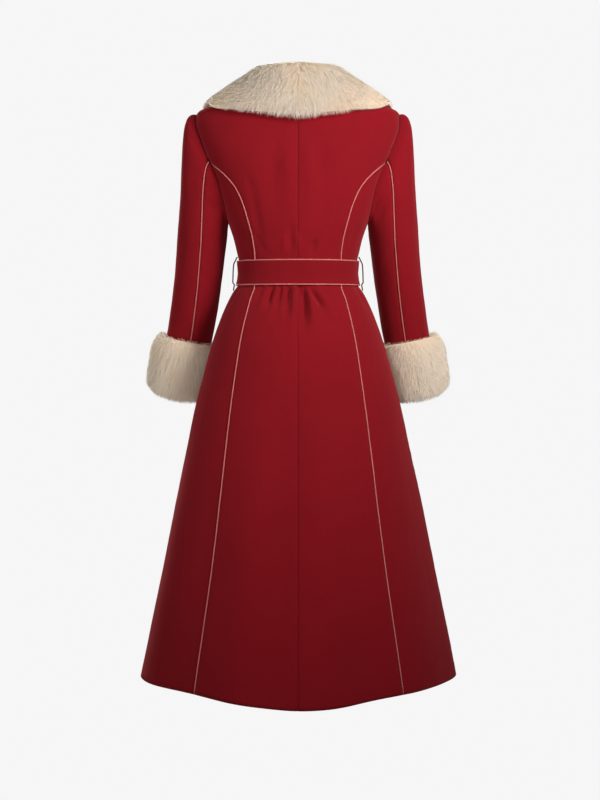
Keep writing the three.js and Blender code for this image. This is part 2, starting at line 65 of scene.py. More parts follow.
# Level sections of the body: height, half width, depth behind and in front, squareness
bodySections = np.array([
    (50, 84, 76, 70, 2.0), (20, 78, 68, 64, 2.0), (0, 76, 62, 62, 2.0), (-28, 129, 75, 70, 2.1),
    (-59, 201, 88, 83, 2.3), (-81, 203, 94, 91, 2.4), (-100, 200, 97, 97, 2.4),
    (-148, 185, 103, 112, 2.4), (-186, 168, 104, 121, 2.4), (-220, 157, 103, 126, 2.4),
    (-250, 148, 101, 126, 2.3), (-273, 139, 99, 122, 2.3), (-306, 128, 95, 110, 2.2),
    (-335, 121, 92, 98, 2.1), (-352, 117, 90, 92, 2.1), (-374, 115, 89, 89, 2.1),
    (-396, 119, 92, 91, 2.1), (-410, 129, 101, 97, 2.1), (-446, 147, 121, 108, 2.1),
    (-496, 166, 140, 121, 2.1), (-566, 187, 157, 133, 2.0), (-636, 205, 171, 144, 2.0),
    (-726, 224, 188, 160, 2.0), (-846, 250, 210, 180, 1.95), (-966, 274, 230, 200, 1.9),
    (-1086, 299, 250, 218, 1.85), (-1178, 318, 265, 232, 1.8),
])

# The princess seams below the armhole: height and distance from the centre line
princessSeam = [
    (-187, 139), (-210, 121), (-243, 106), (-270, 98), (-309, 88), (-346, 84), (-398, 84),
    (-427, 93), (-518, 113), (-904, 161), (-1178, 199),
]

# The front edge: height and distance from the centre line
frontEdge = [
    (0, 73), (-60, 58), (-120, 43), (-200, 23), (-262, 4), (-300, -14), (-332, -30), (-1178, -30),
]

# The left sleeve: height, middle x and y, half widths across and from front to back
sleeveSections = np.array([
    (-300, 192.5, -30, 50, 55), (-386, 203, -54, 48, 52), (-466, 216, -78, 47.5, 50),
    (-520, 227, -95, 46.5, 48.5), (-567, 238, -110, 45.5, 47.5), (-650, 254, -134, 45, 47),
])

# The collar from the centre back round to the front: place, angle and height of its neck edge,
# the same of its outer edge, and how far the fur swells
collarSections = np.array([
    (0, 0, 35, 0, -80, 33), (0.2, 45, 30, 47, -69, 26), (0.28, 67, 21, 67, -64, 18),
    (0.36, 88, 12, 86, -45, 10), (0.5, 118, -12, 112, -82, 17), (0.64, 139, -50, 128, -140, 27),
    (0.82, 163, -150, 139, -214, 27), (1, 179, -262, 172, -302, 16),
])


def smoothStep(value):
    # 3t^2 - 2t^3, with t held between 0 and 1
    t = np.clip(value, 0, 1)
    return t * t * (3 - 2 * t)


def hermite(start, startSlope, end, endSlope, t):
    # the cubic that leaves start along startSlope and meets end along endSlope
    rest = 1 - t
    return (
        start * (1 + 2 * t) * rest * rest + startSlope * t * rest * rest
        + end * t * t * (3 - 2 * t) - endSlope * t * t * rest
    )


def smoothCurve(xs, ys):
    # cubic pieces through the points, each slope the harmonic mean of the two rises beside it
    xs, ys = np.asarray(xs, float), np.asarray(ys, float)
    if xs[0] > xs[-1]:
        xs, ys = xs[::-1], ys[::-1]
    steps = np.diff(xs)
    rises = np.diff(ys) / steps
    both = rises[1:] * rises[:-1]
    total = rises[1:] + rises[:-1]
    inner = np.where(both > 0, 2 * both / np.where(both > 0, total, 1), 0)
    slopes = np.concatenate([rises[:1], inner, rises[-1:]])

    def at(x):
        held = np.clip(x, xs[0], xs[-1])
        i = np.clip(np.searchsorted(xs, held, side="right") - 1, 0, len(steps) - 1)
        t = (held - xs[i]) / steps[i]
        return hermite(ys[i], slopes[i] * steps[i], ys[i + 1], slopes[i + 1] * steps[i], t)

    return at


def unit(vectors):
    # each vector divided by its length
    return vectors / np.maximum(np.linalg.norm(vectors, axis=-1, keepdims=True), 1e-9)


def stack(*columns):
    # columns side by side, as the coordinates of points
    return np.stack(np.broadcast_arrays(*columns), -1).astype(float)


def rounded(value, power):
    # |value|^power with the value's own sign
    return np.sign(value) * np.abs(value) ** power


def fullTurn(count):
    # angles spread evenly round a circle
    return np.linspace(0, 2 * math.pi, count, endpoint=False)


def crossed(first, second):
    # every pair of two rows of numbers, as two grids
    return np.meshgrid(first, second, indexing="ij")


def ruled(start, end, count):
    # start * (1 - t) + end * t for each row, t running from 0 to 1
    t = np.linspace(0, 1, count)[None]
    return start[:, None] * (1 - t) + end[:, None] * t


def mirror(side):
    # every shape is worked out for the left, 1, and turned over for the right, -1
    return np.array([side, 1, 1])


def blend(a, b, t):
    # a where t is 0 and b where it is 1
    return a + (b - a) * t


halfWidth, backDepth, frontDepth, squareness = (
    smoothCurve(bodySections[:, 0], bodySections[:, i]) for i in (1, 2, 3, 4)
)


def bodyPoint(phi, z):
    # r = ((|sin phi| / half)^n + (|cos phi| / depth)^n)^(-1/n), placed at (r sin phi, r cos phi, z)
    power = squareness(z)
    depth = np.where(np.cos(phi) > 0, backDepth(z), frontDepth(z))
    across = np.abs(np.sin(phi)) / halfWidth(z)
    along = np.abs(np.cos(phi)) / depth
    radius = (across ** power + along ** power) ** (-1 / power)
    drop = size["hemDrop"] * np.maximum(0, np.cos(phi)) ** 2
    low = smoothStep((size["hemDips"] - z) / (size["hemDips"] - size["hemZ"]))
    rise = (size["hemRise"] * np.sin(2 * phi) ** 2 - drop) * low
    return stack(radius * np.sin(phi), radius * np.cos(phi), z + rise)


def bodyNormal(phi, z):
    # the cross product of the surface's steps up and round
    around = bodyPoint(phi + 0.01, z) - bodyPoint(phi - 0.01, z)
    up = bodyPoint(phi, z + 1) - bodyPoint(phi, z - 1)
    return unit(np.cross(up, around))


def offBody(phi, z, distance):
    # the body's point moved out along its normal
    return bodyPoint(phi, z) + bodyNormal(phi, z) * np.asarray(distance)[..., None]


def angleAt(x, z, isBack):
    # the angle of the point that is x from the centre line at height z
    power = squareness(z)
    depth = backDepth(z) if isBack else frontDepth(z)
    ratio = np.minimum(1, np.abs(x) / halfWidth(z))
    y = depth * (1 - ratio ** power) ** (1 / power)
    angle = np.arctan2(x, y)
    return angle if isBack else frontLine - angle


def radiusAt(phi, z):
    # how far the surface is from the upright axis
    point = bodyPoint(phi, z)
    return np.hypot(point[..., 0], point[..., 1])


def armhole(t, isBack):
    # an egg in side view, laid onto the body: t runs from the shoulder to the underarm
    turn = t * math.pi
    drop = (1 - np.cos(turn)) / 2
    z = size["shoulderZ"] + (size["underarmZ"] - size["shoulderZ"]) * drop
    reach = size["armholeBack"] if isBack else -size["armholeFront"]
    y = reach * np.sin(turn) * (size["armholeUpper"] + size["armholeLower"] * drop)
    power = squareness(z)
    depth = backDepth(z) if isBack else frontDepth(z)
    x = halfWidth(z) * (1 - (np.abs(y) / depth) ** power) ** (1 / power)
    return np.arctan2(x, y), z, x


def princessCurve(isBack):
    # the seam starts where it meets the armhole
    z, x = armhole(size["princessMeets"], isBack)[1:]
    return smoothCurve(*np.array([(z, x), *princessSeam]).T)


princessX = {True: princessCurve(True), False: princessCurve(False)}
frontEdgeX = smoothCurve(*np.array(frontEdge).T)


def princessAngle(z, isBack):
    return angleAt(princessX[isBack](z), z, isBack)


def lapAt(phi):
    # the upper front rises over the lower one between 133 and 150 degrees
    turned = np.degrees(np.abs(phi))
    return size["lapRise"] * smoothStep((turned - 133) / 17)


def addMesh(name, points, faces, uv=None, smooth=True):
    # points are (n, 3) in millimetres, faces one (m, corners) array or a list of them
    groups = faces if isinstance(faces, list) else [faces]
    corners = np.concatenate([np.asarray(group).ravel() for group in groups]).astype(np.int32)
    counts = np.concatenate([np.full(len(group), np.asarray(group).shape[1]) for group in groups])
    starts = np.concatenate([[0], np.cumsum(counts)[:-1]]).astype(np.int32)
    mesh = bpy.data.meshes.new(name)
    mesh.vertices.add(len(points))
    mesh.vertices.foreach_set("co", (np.asarray(points) / 1000).astype(np.float32).ravel())
    mesh.loops.add(len(corners))
    mesh.loops.foreach_set("vertex_index", corners)
    mesh.polygons.add(len(starts))
    mesh.polygons.foreach_set("loop_start", starts)
    if uv is not None:
        layer = mesh.uv_layers.new(name="detail")
        layer.data.foreach_set("uv", np.asarray(uv, np.float32)[corners].ravel())
    mesh.polygons.foreach_set("use_smooth", np.full(len(starts), smooth))
    mesh.update(calc_edges=True)
    made = bpy.data.objects.new(name, mesh)
    bpy.context.collection.objects.link(made)
    return made


def gridFaces(rows, columns, wrapRows=False, wrapColumns=False):
    # the quads of a grid of corners, numbered row by row
    j, i = np.meshgrid(
        np.arange(rows if wrapRows else rows - 1),
        np.arange(columns if wrapColumns else columns - 1),
        indexing="ij",
    )
    nextJ, nextI = (j + 1) % rows, (i + 1) % columns
    quads = [j * columns + i, j * columns + nextI, nextJ * columns + nextI, nextJ * columns + i]
    return np.stack([part.ravel() for part in quads], -1)


def outward(points, faces):
    # turns the faces of a closed mesh outwards, by the sign of its volume
    total = 0.0
    for group in faces:
        a = points[group[:, 0]]
        for k in range(1, group.shape[1] - 1):
            total += np.einsum("ij,ij->", a, np.cross(points[group[:, k]], points[group[:, k + 1]]))
    return faces if total > 0 else [group[:, ::-1] for group in faces]


def clothShell(name, outer, normals, uv, thickness):
    # a sheet with a rounded edge: the outer grid, the same grid set in by its thickness, and a
    # ring half way between the two that stands out a little
    rows, columns = outer.shape[:2]
    inner = outer - normals * thickness
    index = np.arange(rows * columns).reshape(rows, columns)
    ring = np.concatenate([index[0], index[1:, -1], index[-1, -2::-1], index[-2:0:-1, 0]])
    inward = np.concatenate([
        index[1], np.concatenate([index[1:-1, -2], index[-2, -2:-1]]),
        index[-2, -2::-1], index[-2:0:-1, 1],
    ])
    flatOuter, flatInner = outer.reshape(-1, 3), inner.reshape(-1, 3)
    out = unit(flatOuter[ring] - flatOuter[inward])
    middle = (flatOuter[ring] + flatInner[ring]) / 2 + out * 0.3
    count = rows * columns
    points = np.concatenate([flatOuter, flatInner, middle])
    ringIndex = 2 * count + np.arange(len(ring))
    rim = [
        np.stack([ring, ringIndex, np.roll(ringIndex, -1), np.roll(ring, -1)], -1),
        np.stack([ringIndex, ring + count, np.roll(ring, -1) + count, np.roll(ringIndex, -1)], -1),
    ]
    face = gridFaces(rows, columns)
    faces = outward(points, [face, face[:, ::-1] + count, *rim])
    flatUv = uv.reshape(-1, 2)
    return addMesh(name, points, faces, np.concatenate([flatUv, flatUv, flatUv[ring]]))


def tube(name, loops, closed=False, uv=None):
    # like-sized loops joined into a tube; an open tube gets a flat face at each end
    count, sides = loops.shape[:2]
    points = loops.reshape(-1, 3)
    faces = [gridFaces(count, sides, closed, True)]
    if not closed:
        faces += [np.arange(sides)[None, ::-1], np.arange((count - 1) * sides, count * sides)[None]]
    return addMesh(name, points, outward(points, faces), uv)


def valueNoise(x, y, seed):
    # smooth noise from -1 to 1 with one knot per unit, from a seeded table
    table = np.random.default_rng(seed).uniform(-1, 1, (64, 64))
    i, j = np.floor(x).astype(int), np.floor(y).astype(int)
    u, v = smoothStep(x - i), smoothStep(y - j)

    def row(k):
        return blend(table[i % 64, k % 64], table[(i + 1) % 64, k % 64], u)

    return blend(row(j), row(j + 1), v)


class Value:
    # one socket that adds, multiplies and so on by making the nodes for it
    def __init__(self, shader, socket):
        self.shader, self.socket = shader, socket

    def math(self, kind, *others, flip=False, clamp=False):
        values = [self, *others] if not flip else [others[0], self, *others[1:]]
        made = self.shader.node("ShaderNodeMath", {"operation": kind, "use_clamp": clamp},
                                dict(enumerate(values)))
        return Value(self.shader, made.outputs[0])

    def __add__(self, other):
        return self.math("ADD", other)

    def __sub__(self, other):
        return self.math("SUBTRACT", other)

    def __rsub__(self, other):
        return self.math("SUBTRACT", other, flip=True)

    def __mul__(self, other):
        return self.math("MULTIPLY", other)

    def __truediv__(self, other):
        return self.math("DIVIDE", other)

    __radd__ = __add__
    __rmul__ = __mul__

    def held(self):
        # kept between 0 and 1
        return self.math("ADD", 0.0, clamp=True)

    def ramp(self, low, high):
        # rises smoothly from 0 at low to 1 at high
        made = self.shader.node("ShaderNodeMapRange", {"interpolation_type": "SMOOTHSTEP"},
                                {"Value": self, "From Min": low, "From Max": high})
        return Value(self.shader, made.outputs["Result"])


class Shader:
    # one material; node() makes a node from its type, settings and inputs
    def __init__(self, name):
        self.material = bpy.data.materials.new(name)
        self.material.use_nodes = True
        self.tree = self.material.node_tree
        self.tree.nodes.clear()
        self.places = self.node("ShaderNodeTexCoord")

    def node(self, kind, settings=None, inputs=None):
        made = self.tree.nodes.new(kind)
        for key, value in (settings or {}).items():
            setattr(made, key, value)
        for key, value in (inputs or {}).items():
            self.plug(made.inputs[key], value)
        return made

    def plug(self, socket, value):
        # a Value or a socket is linked, and anything else is set
        source = value.socket if isinstance(value, Value) else value
        if isinstance(source, bpy.types.NodeSocket):
            self.tree.links.new(source, socket)
        else:
            socket.default_value = source

    def noise(self, scale, detail, rough, stretch=(1, 1, 1)):
        places = self.node("ShaderNodeVectorMath", {"operation": "MULTIPLY"},
                           {0: self.places.outputs["Object"], 1: stretch})
        made = self.node("ShaderNodeTexNoise", None, {
            "Vector": places.outputs[0], "Scale": scale, "Detail": detail, "Roughness": rough,
        })
        return Value(self, made.outputs["Fac"])

    def detail(self):
        parts = self.node("ShaderNodeSeparateXYZ", None, {0: self.places.outputs["UV"]})
        return Value(self, parts.outputs[0]), Value(self, parts.outputs[1])

    def mix(self, factor, a, b):
        # colour a where the factor is 0 and b where it is 1
        made = self.node("ShaderNodeMix", {"data_type": "RGBA"})
        for key, value in (("Factor_Float", factor), ("A_Color", a), ("B_Color", b)):
            socket = next(s for s in made.inputs if s.identifier == key)
            self.plug(socket, (*value, 1) if isinstance(value, tuple) else value)
        return next(s for s in made.outputs if s.identifier == "Result_Color")

    def bump(self, height, distance, strength):
        inputs = {"Height": height, "Distance": distance, "Strength": strength}
        return self.node("ShaderNodeBump", None, inputs).outputs[0]

    def edge(self, blendValue):
        made = self.node("ShaderNodeLayerWeight", None, {"Blend": blendValue})
        return Value(self, made.outputs["Facing"])

    def surface(self, inputs, through=None):
        # through is the share and colour of the light that shines through the material
        made = self.node("ShaderNodeBsdfPrincipled", None, inputs)
        if through:
            thin = self.node("ShaderNodeBsdfTranslucent", None, {"Color": (*through[1], 1)})
            made = self.node("ShaderNodeMixShader", None, {
                0: through[0], 1: made.outputs[0], 2: thin.outputs[0]})
        self.node("ShaderNodeOutputMaterial", None, {"Surface": made.outputs[0]})
        return self.material


def woolMaterial(name, look):
    # brushed wool: a short, uneven nap, slight mottling, and a soft painted sheen that colours the
    # edges lighter
    shader = Shader(name)
    nap = shader.noise(look["napScale"], 4, 0.6)
    long = shader.noise(look["napScale"] * 0.35, 3, 0.6, (1, 1, 0.35))
    mottle = shader.noise(9, 3, 0.5)
    tone = (mottle - 0.5) * look["mottle"] + (nap - 0.5) * look["napTone"] + (long - 0.5) * 0.2
    base = shader.mix((tone + 0.5).held(), look["dark"], look["light"])
    # painted sheen: the colour turns lighter where the surface turns away from the eye, standing in
    # for light caught at the edges
    paintedSheen = shader.edge(0.35).ramp(0.25, 1.0) * look["paintedSheen"]
    colour = shader.mix(paintedSheen, base, look["paintedSheenColour"])
    height = nap * 0.55 + long * 0.45
    return shader.surface({
        "Base Color": colour,
        "Roughness": 0.93,
        "Specular IOR Level": 0.06,
        "Sheen Weight": look["sheen"],
        "Sheen Roughness": 0.55,
        "Sheen Tint": (*look["sheenTint"], 1),
        "Normal": shader.bump(height, look["napHeight"], 0.6),
    })


wool = {
    "napScale": 620,
    "mottle": 0.5,
    "napTone": 0.9,
    "dark": (0.146, 0.0031, 0.0066),
    "light": (0.220, 0.0056, 0.0108),
    # how strongly, and in what colour, the edges are painted lighter as painted sheen
    "paintedSheen": 0.5,
    "paintedSheenColour": (0.36, 0.026, 0.034),
    "sheen": 0.12,
    "sheenTint": (0.95, 0.25, 0.25),
    "napHeight": 0.0006,
}
beltWool = dict(wool, dark=(0.135, 0.0031, 0.0066), light=(0.200, 0.0054, 0.0100))

materials = {
    "wool": woolMaterial("wool", wool),
    "beltWool": woolMaterial("beltWool", beltWool),
}


def finishPiece(piece, material, slotName, *nodes):
    piece.data.materials.append(materials[material])
    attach(piece, "root")
    if nodes:
        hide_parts(*nodes)
    return piece


# The creases pressed and worn into the body: angle and height where each begins and ends, depth
# (a hollow is below 0), half width and bow, all in degrees and millimetres. The first ones are
# those seen at the back waist.
bodyCreases = [
    (8, -280, 10, -346, -2.8, 9, 0), (1, -296, 3, -347, 3.6, 7.5, 0),
    (15, -304, 16, -346, 2.6, 7, 0), (11, -396, 10, -464, -9.5, 7.5, 0),
    (-2, -396, -3.5, -500, -10.5, 8.5, 3), (-8.5, -396, -7, -476, -8, 6.5, 0),
    (-14, -398, -27, -476, -10, 7.5, 4), (28.5, -397, 29.5, -452, -8.5, 6.5, 0),
    (3.5, -398, 3, -480, 3.2, 7, 0), (-11, -398, -13, -480, 3, 7, 0),
    (20, -398, 19, -470, -7, 7, 0), (-19, -312, -17, -346, -4.6, 7.5, 0),
    (-34, -398, -36, -446, -3.2, 6.5, 0), (40, -400, 44, -456, -3, 7.5, 0),
    (-44, -312, -30, -346, -1.5, 7, 4), (46, -300, 34, -345, -1.6, 7, -4),
    (62, -288, 52, -340, -1.8, 8, -4), (-64, -286, -52, -342, -1.7, 8, 4),
    (72, -400, 78, -455, -1.7, 7, 2), (-70, -400, -77, -460, -1.9, 7, -2),
    (-18, -160, -38, -215, -1.4, 12, 5), (20, -165, 38, -225, -1.6, 12, -5),
    (27, -120, 24, -330, -3, 21, 4), (-25, -130, -27, -310, -2.6, 20, -4),
    (13, -140, 10, -300, 1.8, 16, 0), (-10, -120, -13, -300, 2.2, 18, 2),
    (46, -190, 44, -330, -2.6, 9, 5), (-47, -195, -43, -325, -2.2, 9, -5),
    (102, -402, 106, -452, -2, 6, 2), (-104, -402, -108, -448, -1.7, 6, -2),
    (128, -400, 132, -465, -2.4, 6.5, 3), (-126, -400, -131, -458, -2.2, 6.5, -2),
    (150, -400, 153, -450, -1.9, 6, 0), (-152, -400, -156, -462, -2.3, 6, 2),
    (110, -292, 122, -344, -1.8, 7.5, 4), (-112, -296, -124, -344, -1.6, 7.5, -4),
    (138, -262, 146, -342, -1.6, 8, 3), (-140, -270, -148, -344, -1.8, 8, -3),
    (96, -300, 92, -345, -1.5, 7, 0), (-97, -302, -93, -345, -1.4, 7, 0),
]

# The skirt's broad soft folds: angle and height where each begins, angle at the hem, depth at the
# hem and half width
skirtFolds = [
    (-10, -500, -13, 4.8, 30), (7, -500, 9, -5.2, 32), (-26, -480, -31, -4.6, 34),
    (24, -500, 28, 4.6, 30), (-46, -560, -52, 4.0, 34), (44, -520, 50, -3.8, 34),
    (66, -540, 71, 3.4, 38), (-68, -520, -74, -3.2, 36), (90, -560, 94, -3.0, 36),
    (-92, -540, -96, 3.3, 38), (112, -520, 114, 3.2, 36), (-114, -560, -117, -3.0, 36),
    (132, -540, 133, -3.0, 34), (-134, -520, -136, 3.1, 34), (152, -600, 153, 2.6, 32),
    (-154, -560, -155, -2.8, 32),
]


# How sewing and the belt shape the cloth, in millimetres
sewing = {
    "puckerReach": 7,
    "puckerSpacing": 11,
    "puckerDepth": 0.35,
    "puckerUneven": 0.45,
    "turnReach": 1.6,
    "bodyTurn": 0.5,
    "sleeveTurn": 0.9,
    "beltZ": -373.5,
    "beltReach": 27,
    "underBelt": 0.3,
}


def seamRelief(distance, along, turned, seed):
    # a sewn edge turns down into its seam, turned * exp(-(d / reach)^2), and the seam draws
    # slight puckers into the cloth beside it
    near = np.exp(-(distance / sewing["puckerReach"]) ** 2)
    uneven = valueNoise(along / sewing["puckerSpacing"], distance / 30, seed)
    puckers = near * (uneven * sewing["puckerUneven"] - sewing["puckerDepth"])
    return puckers - turned * np.exp(-(distance / sewing["turnReach"]) ** 2)


def beltHeld(relief, z):
    # nothing stands over the piping that runs under the belt
    held = np.exp(-(((z - sewing["beltZ"]) / sewing["beltReach"]) ** 6))
    return relief * (1 - held) + np.minimum(relief, sewing["underBelt"]) * held


def creasePlace(x, y, run, bow, waver):
    # how far along a crease each point lies, from 0 to 1, and how far from its bowed line
    length = math.hypot(*run)
    t = (x * run[0] + y * run[1]) / length ** 2
    bowed = bow * np.sin(math.pi * np.clip(t, 0, 1)) + waver(t)
    return t, (x * run[1] - y * run[0]) / length - bowed


def edgeDistances(plain):
    # along each row, how far every corner is from the first one and from the last
    steps = np.linalg.norm(np.diff(plain, axis=1), axis=-1)
    fromFirst = np.concatenate([np.zeros((len(plain), 1)), np.cumsum(steps, 1)], 1)
    return fromFirst, fromFirst[:, -1:] - fromFirst


def bodyRelief(phi, z):
    # how far the worn cloth lies above (+) or below (-) its smooth form, in millimetres.
    # A crease is depth * exp(-(d / width)^2) * fade, d being the distance from its bowed line.
    turned = np.degrees(phi)
    relief = np.zeros(np.broadcast(phi, z).shape)
    for k, (phiA, zA, phiB, zB, depth, width, bow) in enumerate(bodyCreases):
        middle = radiusAt(np.radians((phiA + phiB) / 2), (zA + zB) / 2)
        run = (math.radians(phiB - phiA) * middle, zB - zA)
        t, d = creasePlace(np.radians(turned - phiA) * middle, z - zA, run, bow,
                           lambda t: 1.6 * valueNoise(t * 2.5, k, 31))
        spread = width * (0.75 + 0.55 * np.clip(t, 0, 1))
        uneven = 1 + 0.35 * valueNoise(t * 3.1 + 9, k, 37)
        fade = smoothStep((t + 0.12) / 0.3) * smoothStep((1.15 - t) / 0.75)
        relief += depth * uneven * np.exp(-(d / spread) ** 2) * fade
    for k, (phiA, zA, phiB, depth, width) in enumerate(skirtFolds):
        t = np.clip((zA - z) / (zA - size["hemZ"]), 0, 1)
        line = blend(phiA, phiB, t) + 1.2 * valueNoise(z / 170, k, 41)
        gap = (turned - line + 180) % 360 - 180
        d = np.radians(gap) * radiusAt(phi, z)
        relief += depth * smoothStep(t * 1.3) * np.exp(-(d / (width * (0.8 + 0.45 * t))) ** 2)
    # low, wide unevenness, quieter above the waist
    calm = blend(0.45, 1.0, smoothStep((-420 - z) / 200))
    relief += calm * 0.55 * valueNoise(phi * 5.5 + 20, z / 74, 43)
    relief += 0.22 * valueNoise(phi * 17 + 20, z / 26, 47)
    return relief


cloth = {"thickness": 2.6, "centreColumns": 36, "sideColumns": 42, "sleeveColumns": 36}


def bodyPanel(name, side, first, last, columns, rise, lastIsSewn=True):
    # a panel ruled between two lines of (phi, z); its first line is always sewn
    phi, z = (ruled(start, end, columns) for start, end in zip(first, last))
    plain = offBody(phi, z, rise(phi)) * mirror(side)
    normals = bodyNormal(phi, z) * mirror(side)
    fromFirst, fromLast = edgeDistances(plain)
    seamDistance = np.minimum(fromFirst, fromLast) if lastIsSewn else fromFirst
    seam = seamRelief(seamDistance, z + 300 * side, sewing["bodyTurn"], 53)
    relief = beltHeld(bodyRelief(side * phi, z) + seam, z)
    uv = np.stack([seamDistance / 100, z / 100], -1)
    return clothShell(name, plain + normals * relief[..., None], normals, uv, cloth["thickness"])


def shellRows(isBack, toTip):
    # row heights, closest together round the waist
    seamTop = armhole(size["princessMeets"], isBack)[1] - 3
    lower = np.concatenate([
        np.linspace(size["hemZ"], -520, 84), np.linspace(-520, -404, 28)[1:],
        np.linspace(-404, -345, 10)[1:], np.linspace(-345, size["underarmZ"], 18)[1:],
    ])
    upper = np.linspace(size["underarmZ"], seamTop, 18)[1:]
    return np.concatenate([lower, upper]) if toTip else lower


def centreEdge(isBack):
    # the outer edge of a centre panel: up the princess seam, round the armhole, up the shoulder
    z = shellRows(isBack, True)
    holePhi, holeZ = armhole(np.linspace(size["princessMeets"], 0, 24), isBack)[:2]
    shoulderZ = np.linspace(size["shoulderZ"], 0, 12)[1:]
    shoulder = np.full(len(shoulderZ), sideLine)
    phi = np.concatenate([princessAngle(z, isBack), holePhi, shoulder])
    return phi, np.concatenate([z, holeZ, shoulderZ])


def flat(phi):
    # no rise
    return 0 * phi


def riseOf(side):
    # only the right front lies over the other one
    return flat if side > 0 else lapAt


def backPanel(name, side):
    # from the centre back seam to the princess seam, armhole and shoulder
    phi, z = centreEdge(True)
    return bodyPanel(name, side, (0 * phi, z), (phi, z), cloth["centreColumns"], flat)


def frontPanel(name, side):
    # from the princess seam, armhole and shoulder to the front edge
    phi, z = centreEdge(False)
    edge = angleAt(frontEdgeX(z), z, False)
    return bodyPanel(
        name, side, (phi, z), (edge, z), cloth["centreColumns"], riseOf(side), lastIsSewn=False)


def sidePanel(name, side, isBack):
    # from the princess seam to the side seam and the armhole
    z = shellRows(isBack, True)
    lower = shellRows(isBack, False)
    # its corner stays just clear of the centre panel's
    holePhi, holeZ = armhole(np.linspace(1, size["princessMeets"] + 0.004, 18)[1:], isBack)[:2]
    sidePhi = np.concatenate([np.full(len(lower), sideLine), holePhi])
    last = (sidePhi, np.concatenate([lower, holeZ]))
    return bodyPanel(name, side, (princessAngle(z, isBack), z), last, cloth["sideColumns"], flat)


for word, side in sides:
    made = {
        "back_centre": backPanel(f"backCentre_{word}", side),
        "back_side": sidePanel(f"backSide_{word}", side, True),
        "front_side": sidePanel(f"frontSide_{word}", side, False),
        "front": frontPanel(f"frontCentre_{word}", side),
    }
    for node, piece in made.items():
        finishPiece(piece, "wool", "wool", f"{node}_{word}")
print("body panels made")

# The left sleeve. turn goes round it from the top or outside, by the back and the inside, to the
# front. reach is 0 at the armhole, 1 where the straight tube begins and 2 at the wrist.
sleeveX, sleeveY, sleeveAcross, sleeveDeep = (
    smoothCurve(sleeveSections[:, 0], sleeveSections[:, i]) for i in (1, 2, 3, 4)
)


def sleeveFrame(z):
    # the sleeve's middle at height z, the way down it, and its outward and rearward directions
    z = np.asarray(z, float)
    middle = stack(sleeveX(z), sleeveY(z), z)
    down = unit(stack(sleeveX(z - 2), sleeveY(z - 2), z - 2) - middle)
    across = np.array([1.0, 0, 0]) - down * down[..., :1]
    out = unit(across)
    return middle, down, out, np.cross(out, down)


def tubePoint(turn, z, extra=0.0):
    # an ellipse round the middle, across * cos turn outwards and deep * sin turn to the rear
    middle, down, out, rear = sleeveFrame(z)
    return (
        middle + out * ((sleeveAcross(z) + extra) * np.cos(turn))[..., None]
        + rear * ((sleeveDeep(z) + extra) * np.sin(turn))[..., None]
    )


# The sleeve head: how it leaves the armhole outwards, backwards and upwards, each as a share for
# all of it and one more at the top; how far it is sunk in the hole and held off the body; how
# strongly its cubic leaves the hole and enters the tube; and how far its top is flattened
sleeveHead = {
    "outwards": (0.65, 0.35),
    "backwards": 0.3,
    "upwards": (-0.34, 0.65),
    "sunk": 1.2,
    "heldOff": 0.6,
    "leaving": (0.45, 0.25),
    "entering": 0.9,
    "flattened": 7,
}


def headPoint(turn, reach):
    # a cubic from the armhole, outwards at the top and downwards at the underarm, to the tube
    def atTop(name):
        shared, more = sleeveHead[name]
        return shared + more * top

    top = np.cos(turn)
    isBack = np.sin(turn) >= 0
    t = np.arccos(np.clip(top, -1, 1)) / math.pi
    phi, z = (np.where(isBack, *pair) for pair in zip(armhole(t, True)[:2], armhole(t, False)[:2]))
    leave = unit(stack(
        atTop("outwards"), sleeveHead["backwards"] * np.sin(turn), atTop("upwards")))
    heldOff = bodyNormal(phi, z) * (sleeveHead["heldOff"] * (1 - top))[..., None]
    start = bodyPoint(phi, z) - unit(heldOff + leave) * sleeveHead["sunk"]
    end = tubePoint(turn, np.full(turn.shape, size["tubeZ"]))
    span = np.linalg.norm(end - start, axis=-1)
    down = sleeveFrame(size["tubeZ"])[1]
    point = hermite(
        start, leave * (span * atTop("leaving"))[..., None],
        end, down * (span * sleeveHead["entering"])[..., None], reach[..., None],
    )
    flattened = sleeveHead["flattened"] * np.maximum(0, top)
    point[..., 0] -= flattened * np.sin(math.pi * reach) ** 2
    return point


def sleevePoint(turn, reach):
    # the head up to reach 1, and the straight tube from there on
    turn, reach = np.broadcast_arrays(np.asarray(turn, float), np.asarray(reach, float))
    head = headPoint(turn, np.clip(reach, 0, 1))
    z = blend(size["tubeZ"], size["sleeveEndZ"], np.maximum(reach, 1) - 1)
    return np.where((reach <= 1)[..., None], head, tubePoint(turn, z))


def sleeveNormal(turn, reach):
    # the cross product of the surface's steps down and round
    along = sleevePoint(turn, reach + 0.01) - sleevePoint(turn, np.maximum(0, reach - 0.01))
    around = sleevePoint(turn + 0.01, reach) - sleevePoint(turn - 0.01, reach)
    return unit(np.cross(along, around))


def sleeveSeam(reach):
    # the seams run a little further round towards the wrist
    return np.radians(blend(84, 97, reach / 2))


